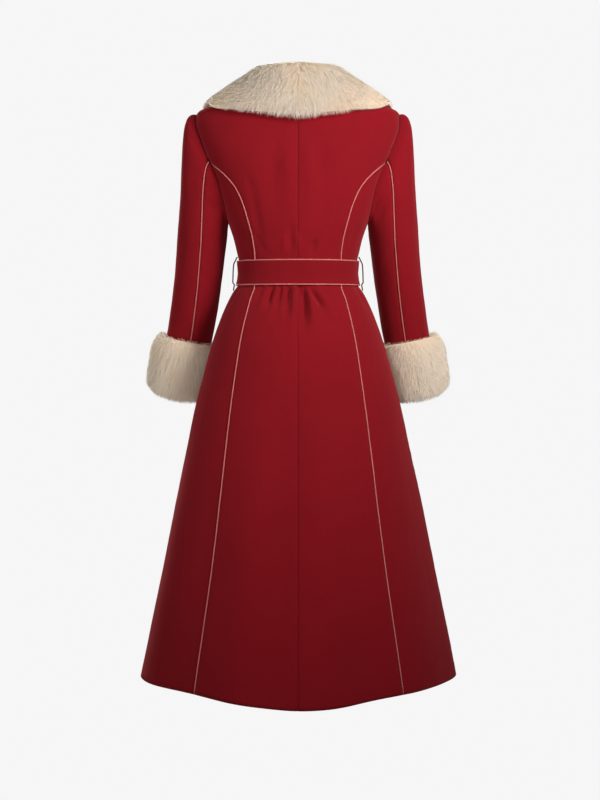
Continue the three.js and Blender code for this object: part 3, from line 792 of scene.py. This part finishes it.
# The sleeves' soft creases: turn in degrees and reach where each begins and ends, depth, half
# width and bow
sleeveCreases = [
    (62, 0.10, 30, 0.34, -1.8, 9, 4), (40, 0.06, 12, 0.22, -1.2, 8, 2),
    (88, 0.30, 60, 0.62, -1.5, 10, 5), (110, 0.42, 84, 0.78, -2, 10, 5),
    (128, 0.20, 110, 0.60, -2.4, 9, 4), (150, 0.28, 168, 0.70, -2.2, 9, 3),
    (-60, 0.12, -32, 0.36, -1.6, 9, -4), (-100, 0.30, -78, 0.66, -2, 10, -4),
    (-130, 0.26, -118, 0.70, -2.2, 9, -3), (96, 1.05, 130, 1.18, -1.7, 8, 3),
    (100, 1.20, 140, 1.30, -1.9, 8, -3), (-100, 1.02, -140, 1.16, -2, 8, 3),
    (-104, 1.22, -138, 1.34, -1.6, 8, -3), (-84, 1.12, -52, 1.22, -1.2, 9, 2),
    (78, 1.36, 116, 1.48, -1.2, 9, 2), (30, 1.30, 44, 1.72, 0.9, 14, 3),
    (-20, 1.02, -28, 1.6, -0.8, 15, 4), (64, 0.9, 58, 1.3, 0.9, 12, 3),
]


def sleeveRelief(turn, reach, side):
    # as bodyRelief, on a tube about 50 in radius and 280 long for each unit of reach; the right
    # sleeve's creases are shifted and deepened a little, so that the two aren't alike
    turned = (np.degrees(turn) + 180) % 360 - 180
    relief = np.zeros(turn.shape)
    for k, (turnA, reachA, turnB, reachB, depth, width, bow) in enumerate(sleeveCreases):
        swing = 1 if side > 0 else 0.8 + 0.4 * ((k * 7) % 5) / 4
        shift = 0 if side > 0 else ((k * 5) % 7 - 3) * 1.6
        x = np.radians((turned - turnA - shift + 180) % 360 - 180) * 50
        run = (math.radians(turnB - turnA) * 50, (reachA - reachB) * 280)
        t, d = creasePlace(x, (reachA - reach) * 280, run, bow,
                           lambda t: 1.5 * valueNoise(t * 2.4, k, 61))
        fade = smoothStep((t + 0.2) / 0.5) * smoothStep((1.2 - t) / 0.5)
        relief += swing * depth * np.exp(-(d / width) ** 2) * fade
    relief += 0.5 * valueNoise(turn * 1.7 + 20, reach * 5.5 + side, 67)
    relief += 0.2 * valueNoise(turn * 5 + 20, reach * 17 + side, 71)
    return relief * smoothStep(reach / 0.05)


def cuffHeld(relief, reach):
    # inside the cuff the cloth keeps clear of the fur
    return np.where(reach > 1.66, np.minimum(relief, 0.2), relief)


def sleevePiece(name, side, isUpper):
    # ruled between the two long seams, from the armhole down to the wrist
    reach = np.concatenate([np.linspace(0, 1, 52), np.linspace(1, 2, 52)[1:]])
    seam = sleeveSeam(reach)
    ends = (-seam, seam) if isUpper else (seam, 2 * math.pi - seam)
    turn = ruled(*ends, cloth["sleeveColumns"])
    reach = np.broadcast_to(reach[:, None], turn.shape).copy()
    plain = sleevePoint(turn, reach) * mirror(side)
    normals = sleeveNormal(turn, reach) * mirror(side)
    seamDistance = np.minimum(*edgeDistances(plain))
    seam = seamRelief(seamDistance, reach * 300 + 60 * side, sewing["sleeveTurn"], 73)
    relief = cuffHeld(sleeveRelief(turn, reach, side) + seam, reach)
    uv = np.stack([np.minimum(seamDistance, reach * 240) / 100, reach * 3], -1)
    return clothShell(name, plain + normals * relief[..., None], normals, uv, cloth["thickness"])


for word, side in sides:
    for cut, isUpper in (("sleeve_upper", True), ("sleeve_under", False)):
        label = "sleeveUpper" if isUpper else "sleeveUnder"
        piece = sleevePiece(f"{label}_{word}", side, isUpper)
        finishPiece(piece, "wool", "wool", f"{cut}_{word}")
print("sleeves made")


# Piping: satin-covered cord, half sunk in the seams
piping = {"radius": 1.15, "lift": 0.2, "tip": 0.55, "sides": 10, "beltRadius": 1.25, "beltGap": 0.1}


def roundCord(name, path, normals, radius):
    # circles of the given radius square to the path; each end narrows to a rounded tip
    along = unit(np.gradient(path, axis=0))
    across = unit(np.cross(along, normals))
    up = np.cross(across, along)
    turn = fullTurn(piping["sides"])[None, :, None]
    travelled = edgeDistances(path[None])[0][0]
    taper = np.ones(len(path))
    taper[[0, -1]] = piping["tip"]
    ring = across[:, None] * np.cos(turn) + up[:, None] * np.sin(turn)
    loops = path[:, None] + ring * (radius * taper)[:, None, None]
    uv = stack(turn[..., 0] / (2 * math.pi), travelled[:, None] / 100)
    return tube(name, loops, uv=uv.reshape(-1, 2))


def princessPiping(name, side, isBack, rise):
    # along the princess seam from the hem to just under the armhole
    top = armhole(size["princessMeets"], isBack)[1] - 2
    z = np.append(shellRows(isBack, True)[::2], top)
    phi = princessAngle(z, isBack)
    lift = rise(phi) + beltHeld(bodyRelief(side * phi, z), z) + piping["lift"]
    path = offBody(phi, z, lift) * mirror(side)
    return roundCord(name, path, bodyNormal(phi, z) * mirror(side), piping["radius"])


def sleevePiping(name, side):
    # along the back sleeve seam, into the cuff
    reach = np.linspace(0.03, 1.7, 84)
    turn = sleeveSeam(reach)
    lift = cuffHeld(sleeveRelief(turn, reach, side), reach) + piping["lift"]
    normals = sleeveNormal(turn, reach)
    path = sleevePoint(turn, reach) + normals * lift[:, None]
    return roundCord(name, path * mirror(side), normals * mirror(side), piping["radius"])


def satinMaterial(name, look):
    # satin binding wound on a cord: fine slanted ribs across it and a soft shine
    shader = Shader(name)
    around, along = shader.detail()
    turns = along * 100 / look["ribSpacing"] + around
    ribs = (turns * (2 * math.pi)).math("SINE") * 0.5 + 0.5
    worn = shader.noise(240, 3, 0.6)
    colour = shader.mix((worn * 0.7 + ribs * 0.3).held(), look["dark"], look["light"])
    return shader.surface({
        "Base Color": colour,
        "Roughness": worn * 0.2 + 0.42,
        "Specular IOR Level": 0.3,
        "Sheen Weight": 0.08,
        "Normal": shader.bump(ribs * 0.6 + worn * 0.4, 0.0002, 0.6),
    })


satin = {"ribSpacing": 1.1, "dark": (0.37, 0.075, 0.068), "light": (0.59, 0.18, 0.155)}
materials["satin"] = satinMaterial("satin", satin)
for word, side in sides:
    back = princessPiping(f"pipingBack_{word}", side, True, flat)
    finishPiece(back, "satin", "piping", f"piping_back_{word}")
    front = princessPiping(f"pipingFront_{word}", side, False, riseOf(side))
    finishPiece(front, "satin", "piping", f"piping_front_{word}")
    arm = sleevePiping(f"pipingSleeve_{word}", side)
    finishPiece(arm, "satin", "piping", f"piping_sleeve_{word}")
print("piping made")

# The belt, its free end, covered buckle and carriers
belt = {
    "top": -350,
    "bottom": -397,
    "standOff": 2.5,
    "thickness": 2.5,
    "endGap": 4,
    "tongue": (166, 222),
    "tongueLift": 3.4,
    "tongueInset": 3,
    "tipLength": 12,
    "wave": 0.3,
    "slices": 220,
}


def offBelt(phi, z, distance):
    # from the belt's inner face, which follows the lapped fronts
    return offBody(phi, z, belt["standOff"] + lapAt(phi) + distance)


def strapPiece(name, angles, inset, lift, shrink):
    # round-edged slices of a strap, z = middle + half * shrink * |sin|^0.35 and depth =
    # thickness * |cos|^0.5, with a soft worn wave on its outer side
    corner = fullTurn(28)
    outwards = rounded(np.cos(corner), 0.5)[None]
    phi = np.radians(angles)[:, None]
    middle, half = (belt["top"] + belt["bottom"]) / 2, (belt["top"] - belt["bottom"]) / 2 - inset
    z = middle + half * shrink[:, None] * rounded(np.sin(corner), 0.35)[None]
    wave = belt["wave"] * valueNoise(phi * 9 + 30, z / 30, 79) * (outwards > 0)
    depth = lift + belt["thickness"] * (0.5 + 0.5 * outwards) + wave
    return tube(name, offBelt(np.broadcast_to(phi, z.shape), z, depth),
                uv=stack(phi, z / 100).reshape(-1, 2))


beltAngles = np.linspace(belt["endGap"] - 180, 180 - belt["endGap"], belt["slices"])
strap = strapPiece("beltStrap", beltAngles, 0, 0, np.ones(belt["slices"]))
finishPiece(strap, "beltWool", "belt_wool", "belt")

tongueAngles = np.linspace(*belt["tongue"], 60)
toTip = np.clip((tongueAngles[-1] - tongueAngles) / belt["tipLength"], 0, 1)
shrink = np.maximum(1 - (1 - toTip) ** 2.6, 0.02)
tongue = strapPiece("beltTongue", tongueAngles, belt["tongueInset"], belt["tongueLift"], shrink)
finishPiece(tongue, "beltWool", "belt_wool", "belt_end")

beyond = piping["beltRadius"] + piping["beltGap"]
for node, label, z in (
    ("belt_piping_top", "beltPipingTop", belt["top"] + beyond),
    ("belt_piping_bottom", "beltPipingBottom", belt["bottom"] - beyond),
):
    phi = np.radians(beltAngles)
    level = np.full(phi.shape, z)
    path = offBelt(phi, level, piping["beltRadius"])
    cordPiece = roundCord(label, path, bodyNormal(phi, level), piping["beltRadius"])
    finishPiece(cordPiece, "satin", "piping", node)

buckle = {
    "halfWide": 31,
    "halfTall": 33,
    "corner": 0.36,
    "bar": 7,
    "thick": 4,
    "barCorner": 0.7,
    "clearance": 0.4,
}


def buckleFrame(name):
    # a rounded frame x = a |cos|^corner, z = b |sin|^corner with a rounded, padded bar
    turn, section = fullTurn(96)[:, None], fullTurn(16)[None]
    inset = buckle["bar"] * (0.5 - 0.5 * rounded(np.cos(section), buckle["barCorner"]))
    depth = buckle["thick"] * (0.5 + 0.5 * rounded(np.sin(section), buckle["barCorner"]))
    x = (buckle["halfWide"] - inset) * rounded(np.cos(turn), buckle["corner"])
    z = (buckle["halfTall"] - inset) * rounded(np.sin(turn), buckle["corner"])
    standOff = (
        belt["standOff"] + size["lapRise"] + belt["tongueLift"] + belt["thickness"]
        + buckle["clearance"]
    )
    level = np.full(x.shape, float(belt["top"]))
    angle = angleAt(x, level, False)
    angle = np.where(x < 0, 2 * frontLine - angle, angle)
    loops = offBody(angle, level, standOff + depth)
    loops[..., 2] = z + (belt["top"] + belt["bottom"]) / 2
    return tube(name, loops, closed=True)


frameCover = buckleFrame("buckleFrame")
finishPiece(frameCover, "beltWool", "belt_wool", "buckle")

carrier = {
    # height and distance off the side seam
    "path": [
        (-340, 1.4), (-345, 6), (-354, 11.5), (-374, 14.5), (-392, 12.5), (-402, 6), (-408, 1.4),
    ],
    "width": 9,
    "thick": 2.4,
}


def carrierLoop(name, side):
    # a flat loop of thread-covered strap that stands off the side seam in a bow
    knots = np.array(carrier["path"], float)
    t = np.arange(len(knots))
    fine = np.linspace(0, len(knots) - 1, 60)
    z, off = smoothCurve(t, knots[:, 0])(fine), smoothCurve(t, knots[:, 1])(fine)
    middle = offBody(np.full(z.shape, sideLine), z, off)
    middle[:, 1] = 0
    along = unit(np.gradient(middle, axis=0))
    out = stack(-along[:, 2], 0 * z, along[:, 0])
    turn = fullTurn(14)[None, :, None]
    loops = middle[:, None] + out[:, None] * np.sin(turn) * carrier["thick"] / 2
    loops = loops + np.array([0, 1, 0]) * rounded(np.cos(turn), 0.5) * carrier["width"] / 2
    return tube(name, loops * mirror(side))


# the carriers get less of the wool's painted sheen at their edges
loopThread = dict(wool, dark=(0.050, 0.008, 0.009), light=(0.100, 0.020, 0.020), paintedSheen=0.1)
materials["loopThread"] = woolMaterial("loopThread", loopThread)
for word, side in sides:
    loop = carrierLoop(f"beltCarrier_{word}", side)
    finishPiece(loop, "loopThread", "belt_wool", f"belt_carrier_{word}")
print("belt made")


# Fur: a soft skin under many thousand fine hairs, which lie over each other and part in locks
fur = {
    "collarHairs": 52000,
    "cuffHairs": 18500,
    "collarLength": 18,
    "cuffLength": 13,
    "cuffSpan": (-1.62, 1.95),
    "rootWidth": 0.7,
    "tipWidth": 0.12,
    "lock": 6.5,
    "locking": 0.2,
    "skinShare": 0.68,
    "ownShading": 0.6,
    "swirl": 0.16,
    "stray": 0.18,
    "uneven": 0.16,
    "curl": 0.6,
    "roll": 0.7,
    "rollMost": 1.3,
    "droop": 1.5,
    "droopUneven": 2.0,
}

collarNeckPhi, collarNeckZ, collarOuterPhi, collarOuterZ, collarSwell = (
    smoothCurve(collarSections[:, 0], collarSections[:, i]) for i in (1, 2, 3, 4, 5)
)


# How the collar lies and its fur is combed: distances off the cloth in millimetres, how full its
# section is, and shares of the full length and height of the hair
collarLie = {
    "clearance": 1.4,
    "shoulderClearance": 7,
    "fullness": 2.6,
    "parting": 0.75,
    "sideways": 0.06,
    "weight": 0.25,
    "edgeWeight": 0.55,
    "dome": 0.75,
    "shoulderRoom": 0.75,
    "shoulderLength": 0.8,
    "napeLength": 0.35,
}


def bell(value, middle, width):
    # exp(-((value - middle) / width)^2)
    return np.exp(-(((value - middle) / width) ** 2))


def wayOf(turn):
    return np.where(turn >= 0, 1, -1)


def collarUnder(turn, across):
    # turn runs from -1, the right front, to 1, the left front; across from the neck edge, 0, to 1.
    # The underside keeps clear of the cloth, by most over the shoulder seams.
    far = np.abs(turn)
    clearance = collarLie["clearance"] + collarLie["shoulderClearance"] * bell(far, 0.43, 0.13)
    phi = np.radians(blend(collarNeckPhi(far), collarOuterPhi(far), across))
    z = blend(collarNeckZ(far), collarOuterZ(far), across)
    point = offBody(phi, z, clearance + lapAt(phi))
    point[..., 0] *= wayOf(turn)
    return point


def collarTop(turn, across, share=1.0):
    # the straight line between the two edges + swell * (1 - |2 across - 1|^fullness)^0.5 upwards
    turn, across = np.broadcast_arrays(np.asarray(turn, float), np.asarray(across, float))

    def edges(at):
        return collarUnder(at, 0 * across), collarUnder(at, 0 * across + 1)

    def chord(at):
        return blend(*edges(at), across[..., None])

    along = chord(turn + 0.01) - chord(turn - 0.01)
    neck, outer = edges(turn)
    over = outer - neck
    up = unit(np.cross(along, over))
    far = np.abs(turn)
    fullness = np.maximum(1 - np.abs(2 * across - 1) ** collarLie["fullness"], 0) ** 0.5
    frontness = smoothStep((far - 0.42) / 0.2)[..., None]
    base = blend(chord(turn), collarUnder(turn, across), frontness)
    return base + up * (collarSwell(far) * fullness * share)[..., None]


def collarFur(turn, across):
    # where a hair is rooted, the surface's normal, the way it is combed, the room above it and
    # its share of the full length
    def skin(turn, inner):
        return collarTop(turn, inner, fur["skinShare"])

    inner = 0.03 + 0.90 * across
    root = skin(turn, inner)
    goes = skin(turn, np.minimum(inner + 0.01, 1)) - skin(turn, np.maximum(inner - 0.01, 0))
    around = skin(turn + 0.01, inner) - skin(turn - 0.01, inner)
    normal = unit(np.cross(around, goes))
    over = unit(collarTop(turn, 0 * inner + 1) - collarTop(turn, 0 * inner))
    flatten = smoothStep((across - 0.55) / 0.4)[..., None]
    combed = unit(blend(unit(goes), over, flatten))
    # the hair parts at the centre back, falls to both sides and hangs under its own weight
    sideways = unit(around) * wayOf(turn)[..., None]
    parting = collarLie["parting"] * bell(turn, 0, 0.1) * np.minimum(np.abs(turn) / 0.012, 1)
    parting = collarLie["sideways"] + parting * (1 - 0.6 * across)
    weight = np.array([0, 0, -1.0]) - normal * -normal[..., 2:]
    weight = weight * (collarLie["weight"] + collarLie["edgeWeight"] * across)[..., None]
    combed = unit(combed + sideways * parting[..., None] + weight)
    room = np.linalg.norm(collarTop(turn, inner) - root, axis=-1)
    # it is short at the shoulders' edge and the nape, and stands fullest beside the nape
    shoulder = bell(np.abs(turn), 0.40, 0.19) * smoothStep((across - 0.2) / 0.6)
    nape = bell(turn, 0, 0.22) * smoothStep((across - 0.6) / 0.4)
    dome = collarLie["dome"] * bell(np.abs(turn), 0.26, 0.1)
    room = room * (1 + dome - collarLie["shoulderRoom"] * shoulder)
    share = 1 - collarLie["shoulderLength"] * shoulder - collarLie["napeLength"] * nape
    return root, normal, combed, room, share


cuffRoll = {
    "z": -560,
    "halfHeight": 65,
    "skinHeight": 0.88,
    "depth": 27,
    "clearance": 0.75,
    "upperCorner": 0.76,
    "lowerCorner": 0.85,
    "brushed": 0.25,
    "rimLift": 0.18,
    "upperRoom": 0.55,
    "upperLength": 0.4,
    "lowerRoom": 0.75,
    "lowerLength": 0.5,
}


def cuffShape(turn, angle, side, height, share):
    # a rounded roll round the wrist: height * |sin|^corner along the arm, depth * |cos|^corner off
    # it. Angle 0 faces out and pi / 2 down the arm; turn is the sleeve's own.
    corner = np.where(np.sin(angle) > 0, cuffRoll["lowerCorner"], cuffRoll["upperCorner"])
    # the upper rim is brushed up at the back and down at the front
    brushed = 1 + cuffRoll["brushed"] * np.sin(turn) * smoothStep(-np.sin(angle) * 2)
    along = cuffRoll["halfHeight"] * rounded(np.sin(angle), corner) * brushed * height
    depth = cuffRoll["depth"] - cuffRoll["clearance"]
    depth = cuffRoll["clearance"] + depth * (0.5 + 0.5 * rounded(np.cos(angle), corner)) * share
    down = sleeveFrame(cuffRoll["z"])[1]
    return tubePoint(turn, cuffRoll["z"] + along * down[2], depth) * mirror(side)


def cuffFur(turn, angle, side):
    # as collarFur, for a cuff
    def skin(turn, angle):
        share = blend(0.5, fur["skinShare"], 0.5 + 0.5 * np.cos(angle))
        return cuffShape(turn, angle, side, cuffRoll["skinHeight"], share)

    root = skin(turn, angle)
    goes = skin(turn, angle + 0.02) - skin(turn, angle - 0.02)
    around = (skin(turn + 0.02, angle) - skin(turn - 0.02, angle)) * side
    normal = unit(np.cross(goes, around))
    # it is combed over the upper rim and down the arm, and is short at both rims
    rim = smoothStep((-np.sin(angle) - 0.5) / 0.5)
    low = smoothStep((np.sin(angle) - 0.5) / 0.4)
    combed = unit(unit(goes) + normal * (cuffRoll["rimLift"] * rim)[..., None])
    room = np.linalg.norm(cuffShape(turn, angle, side, 1, 1) - root, axis=-1)
    room = room * (1 - cuffRoll["lowerRoom"] * low - cuffRoll["upperRoom"] * rim)
    share = 1 - cuffRoll["lowerLength"] * low - cuffRoll["upperLength"] * rim
    return root, normal, combed, room, share


def furHairs(name, surface, u, v, lockU, lockV, length, seed):
    # Flat tapering hairs, each a strip of three quads and a tip. A tip lies at root + combed *
    # length + normal * room, less its droop, pulled towards that of the lock it belongs to. A hair
    # is root + its lean along the skin * s^1.15 + its rise off it * (1 - (1 - s)^2) + a sine curl.
    dice = np.random.default_rng(seed)
    count = len(u)

    def tips(root, normal, combed, room, reach, swirl):
        side = unit(np.cross(normal, combed))
        bent = unit(combed + side * swirl[..., None])
        return root + bent * reach[..., None] + normal * room[..., None]

    root, normal, combed, room, share = surface(u, v)
    lockRoot, lockNormal, lockCombed, lockRoom, lockShare = surface(lockU, lockV)
    lockDice = valueNoise(lockU * 91, lockV * 57, seed + 1)
    swirl = fur["swirl"] * valueNoise(lockU * 9, lockV * 3, seed + 2) + 0.07 * lockDice
    lockUneven = 1 + fur["uneven"] * lockDice
    reach = length * share * (0.72 + 0.5 * dice.random(count)) * lockUneven
    rise = room * (0.62 + 0.48 * dice.random(count)) + 1.2 * dice.random(count) + 0.6
    stray = swirl + fur["stray"] * dice.normal(size=count)
    tip = tips(root, normal, combed, rise, reach, stray)
    lockTip = tips(lockRoot, lockNormal, lockCombed, lockRoom * 0.92 + 1.0,
                   length * lockShare * lockUneven, swirl)
    pull = fur["locking"] * (0.55 + 0.45 * dice.random(count))
    tip = blend(tip, lockTip, pull[:, None])
    # tips droop, the longest hairs most
    tip[:, 2] -= (fur["droop"] + fur["droopUneven"] * dice.random(count)) * share
    lean = tip - root
    rising = np.einsum("ij,ij->i", lean, normal)
    flatLean = lean - normal * rising[:, None]
    s = np.array([0, 0.3, 0.62, 0.86, 1.0])
    path = (
        root[:, None] + flatLean[:, None] * (s ** 1.15)[None, :, None]
        + (normal * rising[:, None])[:, None] * (1 - (1 - s) ** 2)[None, :, None]
    )
    curl = unit(np.cross(normal, combed)) * (dice.normal(size=count) * fur["curl"])[:, None]
    path += curl[:, None] * np.sin(s * 4.2)[None, :, None]
    along = unit(path[:, -1] - path[:, 0])
    roll = np.clip(dice.normal(size=count) * fur["roll"], -fur["rollMost"], fur["rollMost"])
    flatSide = unit(np.cross(along, normal))
    facing = np.cross(flatSide, along)
    wide = flatSide * np.cos(roll)[:, None] + facing * np.sin(roll)[:, None]
    width = blend(fur["rootWidth"], fur["tipWidth"], s[:4] ** 1.4) / 2
    width = width[None] * (0.75 + 0.6 * dice.random((count, 1)))
    left = path[:, :4] + wide[:, None] * width[..., None]
    right = path[:, :4] - wide[:, None] * width[..., None]
    points = np.concatenate([np.stack([left, right], 2).reshape(count, 8, 3), path[:, 4:]], 1)
    base = (np.arange(count) * 9)[:, None]
    quads = np.concatenate([base + [2 * k + 1, 2 * k, 2 * k + 2, 2 * k + 3] for k in range(3)])
    ends = base + [7, 6, 8]
    tone = 0.5 + 0.5 * np.clip(0.25 * dice.normal(size=count) + 0.35 * lockDice, -1, 1)
    shade = np.broadcast_to(tone[:, None], (count, 9))
    height = np.broadcast_to(np.append(np.repeat(s[:4], 2), 1.0)[None], (count, 9))
    uv = np.stack([shade, height], -1).reshape(-1, 2)
    piece = addMesh(name, points.reshape(-1, 3), [quads, ends], uv)
    # each hair is shaded partly as the skin under it, which makes the pile soft
    own = unit(np.cross(wide, along))
    shading = unit(blend(normal, own, fur["ownShading"]))
    piece.data.normals_split_custom_set_from_vertices(np.repeat(shading, 9, axis=0).tolist())
    return piece


def scatter(surface, uRange, vRange, count, seed):
    # places spread evenly over the skin: cells of a grid are drawn by their area
    dice = np.random.default_rng(seed)
    u = np.linspace(*uRange, 161)
    v = np.linspace(*vRange, 61)
    spots = surface(*crossed(u, v))[0]
    a, b = np.diff(spots, axis=0)[:, :-1], np.diff(spots, axis=1)[:-1]
    area = np.linalg.norm(np.cross(a, b), axis=-1)
    cell = dice.choice(area.size, count, p=(area / area.sum()).ravel())
    i, j = np.unravel_index(cell, area.shape)
    stepU, stepV = u[1] - u[0], v[1] - v[0]
    pickU, pickV = u[i] + stepU * dice.random(count), v[j] + stepV * dice.random(count)
    # the lock that each belongs to: the nearest jittered point of a coarse grid
    meanU = np.linalg.norm(np.diff(spots, axis=0), axis=-1).mean() / stepU
    meanV = np.linalg.norm(np.diff(spots, axis=1), axis=-1).mean() / stepV
    lockU, lockV = fur["lock"] / meanU, fur["lock"] / meanV
    gridU, gridV = np.floor(pickU / lockU), np.floor(pickV / lockV)
    jitter = np.random.default_rng(seed + 5).uniform(0.15, 0.85, (2, 64, 64))
    at = (gridU.astype(int) % 64, gridV.astype(int) % 64)
    centreU = (gridU + jitter[0][at]) * lockU
    centreV = np.clip((gridV + jitter[1][at]) * lockV, *vRange)
    return pickU, pickV, np.clip(centreU, *uRange), centreV


def furMaterial(name, look):
    # each hair is darker and warmer at its root and pale at its tip; u holds the hair's own tone
    # and v runs from root to tip
    shader = Shader(name)
    tone, height = shader.detail()
    patch = shader.noise(14, 2, 0.5)
    inner = shader.mix(tone, look["rootDark"], look["rootLight"])
    outer = shader.mix(tone, look["tipDark"], look["tipLight"])
    colour = shader.mix(height.ramp(0.1, 0.85), inner, outer)
    warm = shader.mix(patch.ramp(0.35, 0.7) * look["patch"], colour, look["patchColour"])
    return shader.surface({
        "Base Color": warm,
        "Roughness": 0.62,
        "Specular IOR Level": 0.25,
        "Sheen Weight": 0.25,
        "Sheen Roughness": 0.4,
    }, look["through"])


def skinMaterial(name, look):
    # the matt down that shows between the hairs
    shader = Shader(name)
    down = shader.noise(420, 3, 0.6)
    colour = shader.mix(down, look["rootDark"], look["rootLight"])
    return shader.surface({
        "Base Color": colour,
        "Roughness": 0.95,
        "Specular IOR Level": 0.1,
        "Normal": shader.bump(down, 0.0015, 0.8),
    })


# the cuffs' fur, painted lighter than the collar's copy to stand for light that reaches the cuffs
# less; its root colours also colour the fur's skin
hair = {
    "rootDark": (0.76, 0.62, 0.47),
    "rootLight": (0.86, 0.75, 0.61),
    "tipDark": (0.91, 0.83, 0.72),
    "tipLight": (0.98, 0.93, 0.85),
    "patch": 0.35,
    "patchColour": (0.90, 0.75, 0.56),
    "through": (0.3, (0.97, 0.90, 0.80)),
}
# the collar's fur is more patchy and is painted darker than the cuffs': the two are lit and shaded
# copies of one fur, differing by how much light reaches each
collarHair = dict(
    hair, rootDark=(0.67, 0.55, 0.42), rootLight=(0.76, 0.66, 0.55), tipDark=(0.79, 0.71, 0.61),
    tipLight=(0.87, 0.81, 0.73), patch=0.6, patchColour=(0.82, 0.68, 0.49),
    through=(0.3, (0.85, 0.77, 0.67)),
)
materials["hair"] = furMaterial("hair", hair)
materials["collarHair"] = furMaterial("collarHair", collarHair)
materials["furSkin"] = skinMaterial("furSkin", hair)


def collarSkin(name):
    # a closed section, its underside and its top, carried along the collar
    turn = np.linspace(-1, 1, 161)
    under = np.linspace(0.03, 0.93, 9)
    top = 0.5 + 0.45 * np.cos(np.linspace(0, math.pi, 34))[1:-1]
    low = collarUnder(*crossed(turn, under))
    high = collarTop(*crossed(turn, top), fur["skinShare"])
    return tube(name, np.concatenate([low, high], 1))


def cuffSkin(name, side):
    # the ring that the hairs are rooted in
    return tube(name, cuffFur(*crossed(fullTurn(96), fullTurn(40)), side)[0], closed=True)


def furPiece(name, surface, uRange, vRange, count, length, seed, material):
    places = scatter(surface, uRange, vRange, count, seed)
    hairs = furHairs(name, surface, *places, length, seed + 10)
    finishPiece(hairs, material, "fur")


def padPiece(skin, node):
    finishPiece(skin, "furSkin", "fur", node)


padPiece(collarSkin("collarSkin"), "collar")
for word, side in sides:
    span = (0, 1) if side > 0 else (-1, 0)
    furPiece(f"collarHair_{word}", collarFur, span, (0, 1), fur["collarHairs"] // 2,
             fur["collarLength"], 101 + side, "collarHair")
    padPiece(cuffSkin(f"cuffSkin_{word}", side), f"cuff_{word}")
    furPiece(f"cuffHair_{word}", lambda turn, angle: cuffFur(turn, angle, side), (0, 2 * math.pi),
             fur["cuffSpan"], fur["cuffHairs"], fur["cuffLength"], 121 + side, "hair")
print("fur made")

room = {
    "floorZ": -1.62,
    "floorReach": 14,
    "backdrop": (0.922, 0.922, 0.922),
    "eye": (-0.004, 3.15, -0.47),
    "lens": 70.9,
    "lookDown": 2.83,
    "worldStrength": 0.16,
    "lightColour": (1.0, 0.98, 0.96),
    "lights": [
        # place, aim, width, power, beam in degrees
        ((-1.25, 1.50, 0.34), (-0.05, 0, -0.08), 0.8, 10.8, 78),
        ((2.1, 1.3, -0.1), (0.1, 0, -0.35), 0.9, 2.8, 70),
        ((0.4, 3.0, -0.5), (0, 0, -0.4), 0.8, 2.6, 60),
        ((0.9, -2.3, 0.7), (0, 0, -0.4), 1.4, 54, 180),
        ((0.0, 0.3, 1.7), (0, 0, -0.1), 1.0, 3, 180),
    ],
}


def paleFloor():
    # a plain floor as bright as the backdrop, which sheds no light on the coat
    corners = np.array([(-1, -1), (1, -1), (1, 1), (-1, 1)]) * room["floorReach"]
    points = np.column_stack([corners, np.full(4, room["floorZ"])]) * 1000
    floor = addMesh("floor", points, np.array([[0, 1, 2, 3]]), smooth=False)
    shader = Shader("paleFloor")
    floor.data.materials.append(shader.surface({
        "Base Color": (0, 0, 0, 1), "Specular IOR Level": 0.0, "Roughness": 1.0,
        "Emission Color": (*room["backdrop"], 1), "Emission Strength": 1.0,
    }))
    floor.visible_diffuse = floor.visible_glossy = False


def paleWorld():
    # the camera sees the pale backdrop, while the coat is lit by a dimmer white
    world = bpy.data.worlds.new("paleRoom")
    bpy.context.scene.world = world
    world.use_nodes = True
    nodes, links = world.node_tree.nodes, world.node_tree.links
    nodes.clear()
    rays = nodes.new("ShaderNodeLightPath")
    seen, felt = nodes.new("ShaderNodeBackground"), nodes.new("ShaderNodeBackground")
    seen.inputs[0].default_value = (*room["backdrop"], 1)
    felt.inputs[0].default_value = (1, 1, 1, 1)
    felt.inputs[1].default_value = room["worldStrength"]
    both, out = nodes.new("ShaderNodeMixShader"), nodes.new("ShaderNodeOutputWorld")
    links.new(rays.outputs["Is Camera Ray"], both.inputs[0])
    links.new(felt.outputs[0], both.inputs[1])
    links.new(seen.outputs[0], both.inputs[2])
    links.new(both.outputs[0], out.inputs[0])


def softLights():
    # round area lights, each turned from its place to its aim
    for k, (place, aim, width, power, beam) in enumerate(room["lights"]):
        light = bpy.data.lights.new(f"light{k}", "AREA")
        light.shape, light.size, light.energy = "DISK", width, power
        light.spread, light.color = math.radians(beam), room["lightColour"]
        lamp = bpy.data.objects.new(f"light{k}", light)
        lamp.location = place
        lamp.rotation_euler = (Vector(aim) - Vector(place)).to_track_quat("-Z", "Y").to_euler()
        bpy.context.collection.objects.link(lamp)


def camera():
    lens = bpy.data.cameras.new("camera")
    lens.lens, lens.sensor_width, lens.sensor_fit = room["lens"], 36, "AUTO"
    eye = bpy.data.objects.new("camera", lens)
    eye.location = room["eye"]
    eye.rotation_euler = (math.radians(90 - room["lookDown"]), 0, math.radians(180))
    bpy.context.collection.objects.link(eye)
    bpy.context.scene.camera = eye


paleFloor()
paleWorld()
softLights()
camera()
bpy.context.scene.view_settings.view_transform = "Standard"
print("room made")
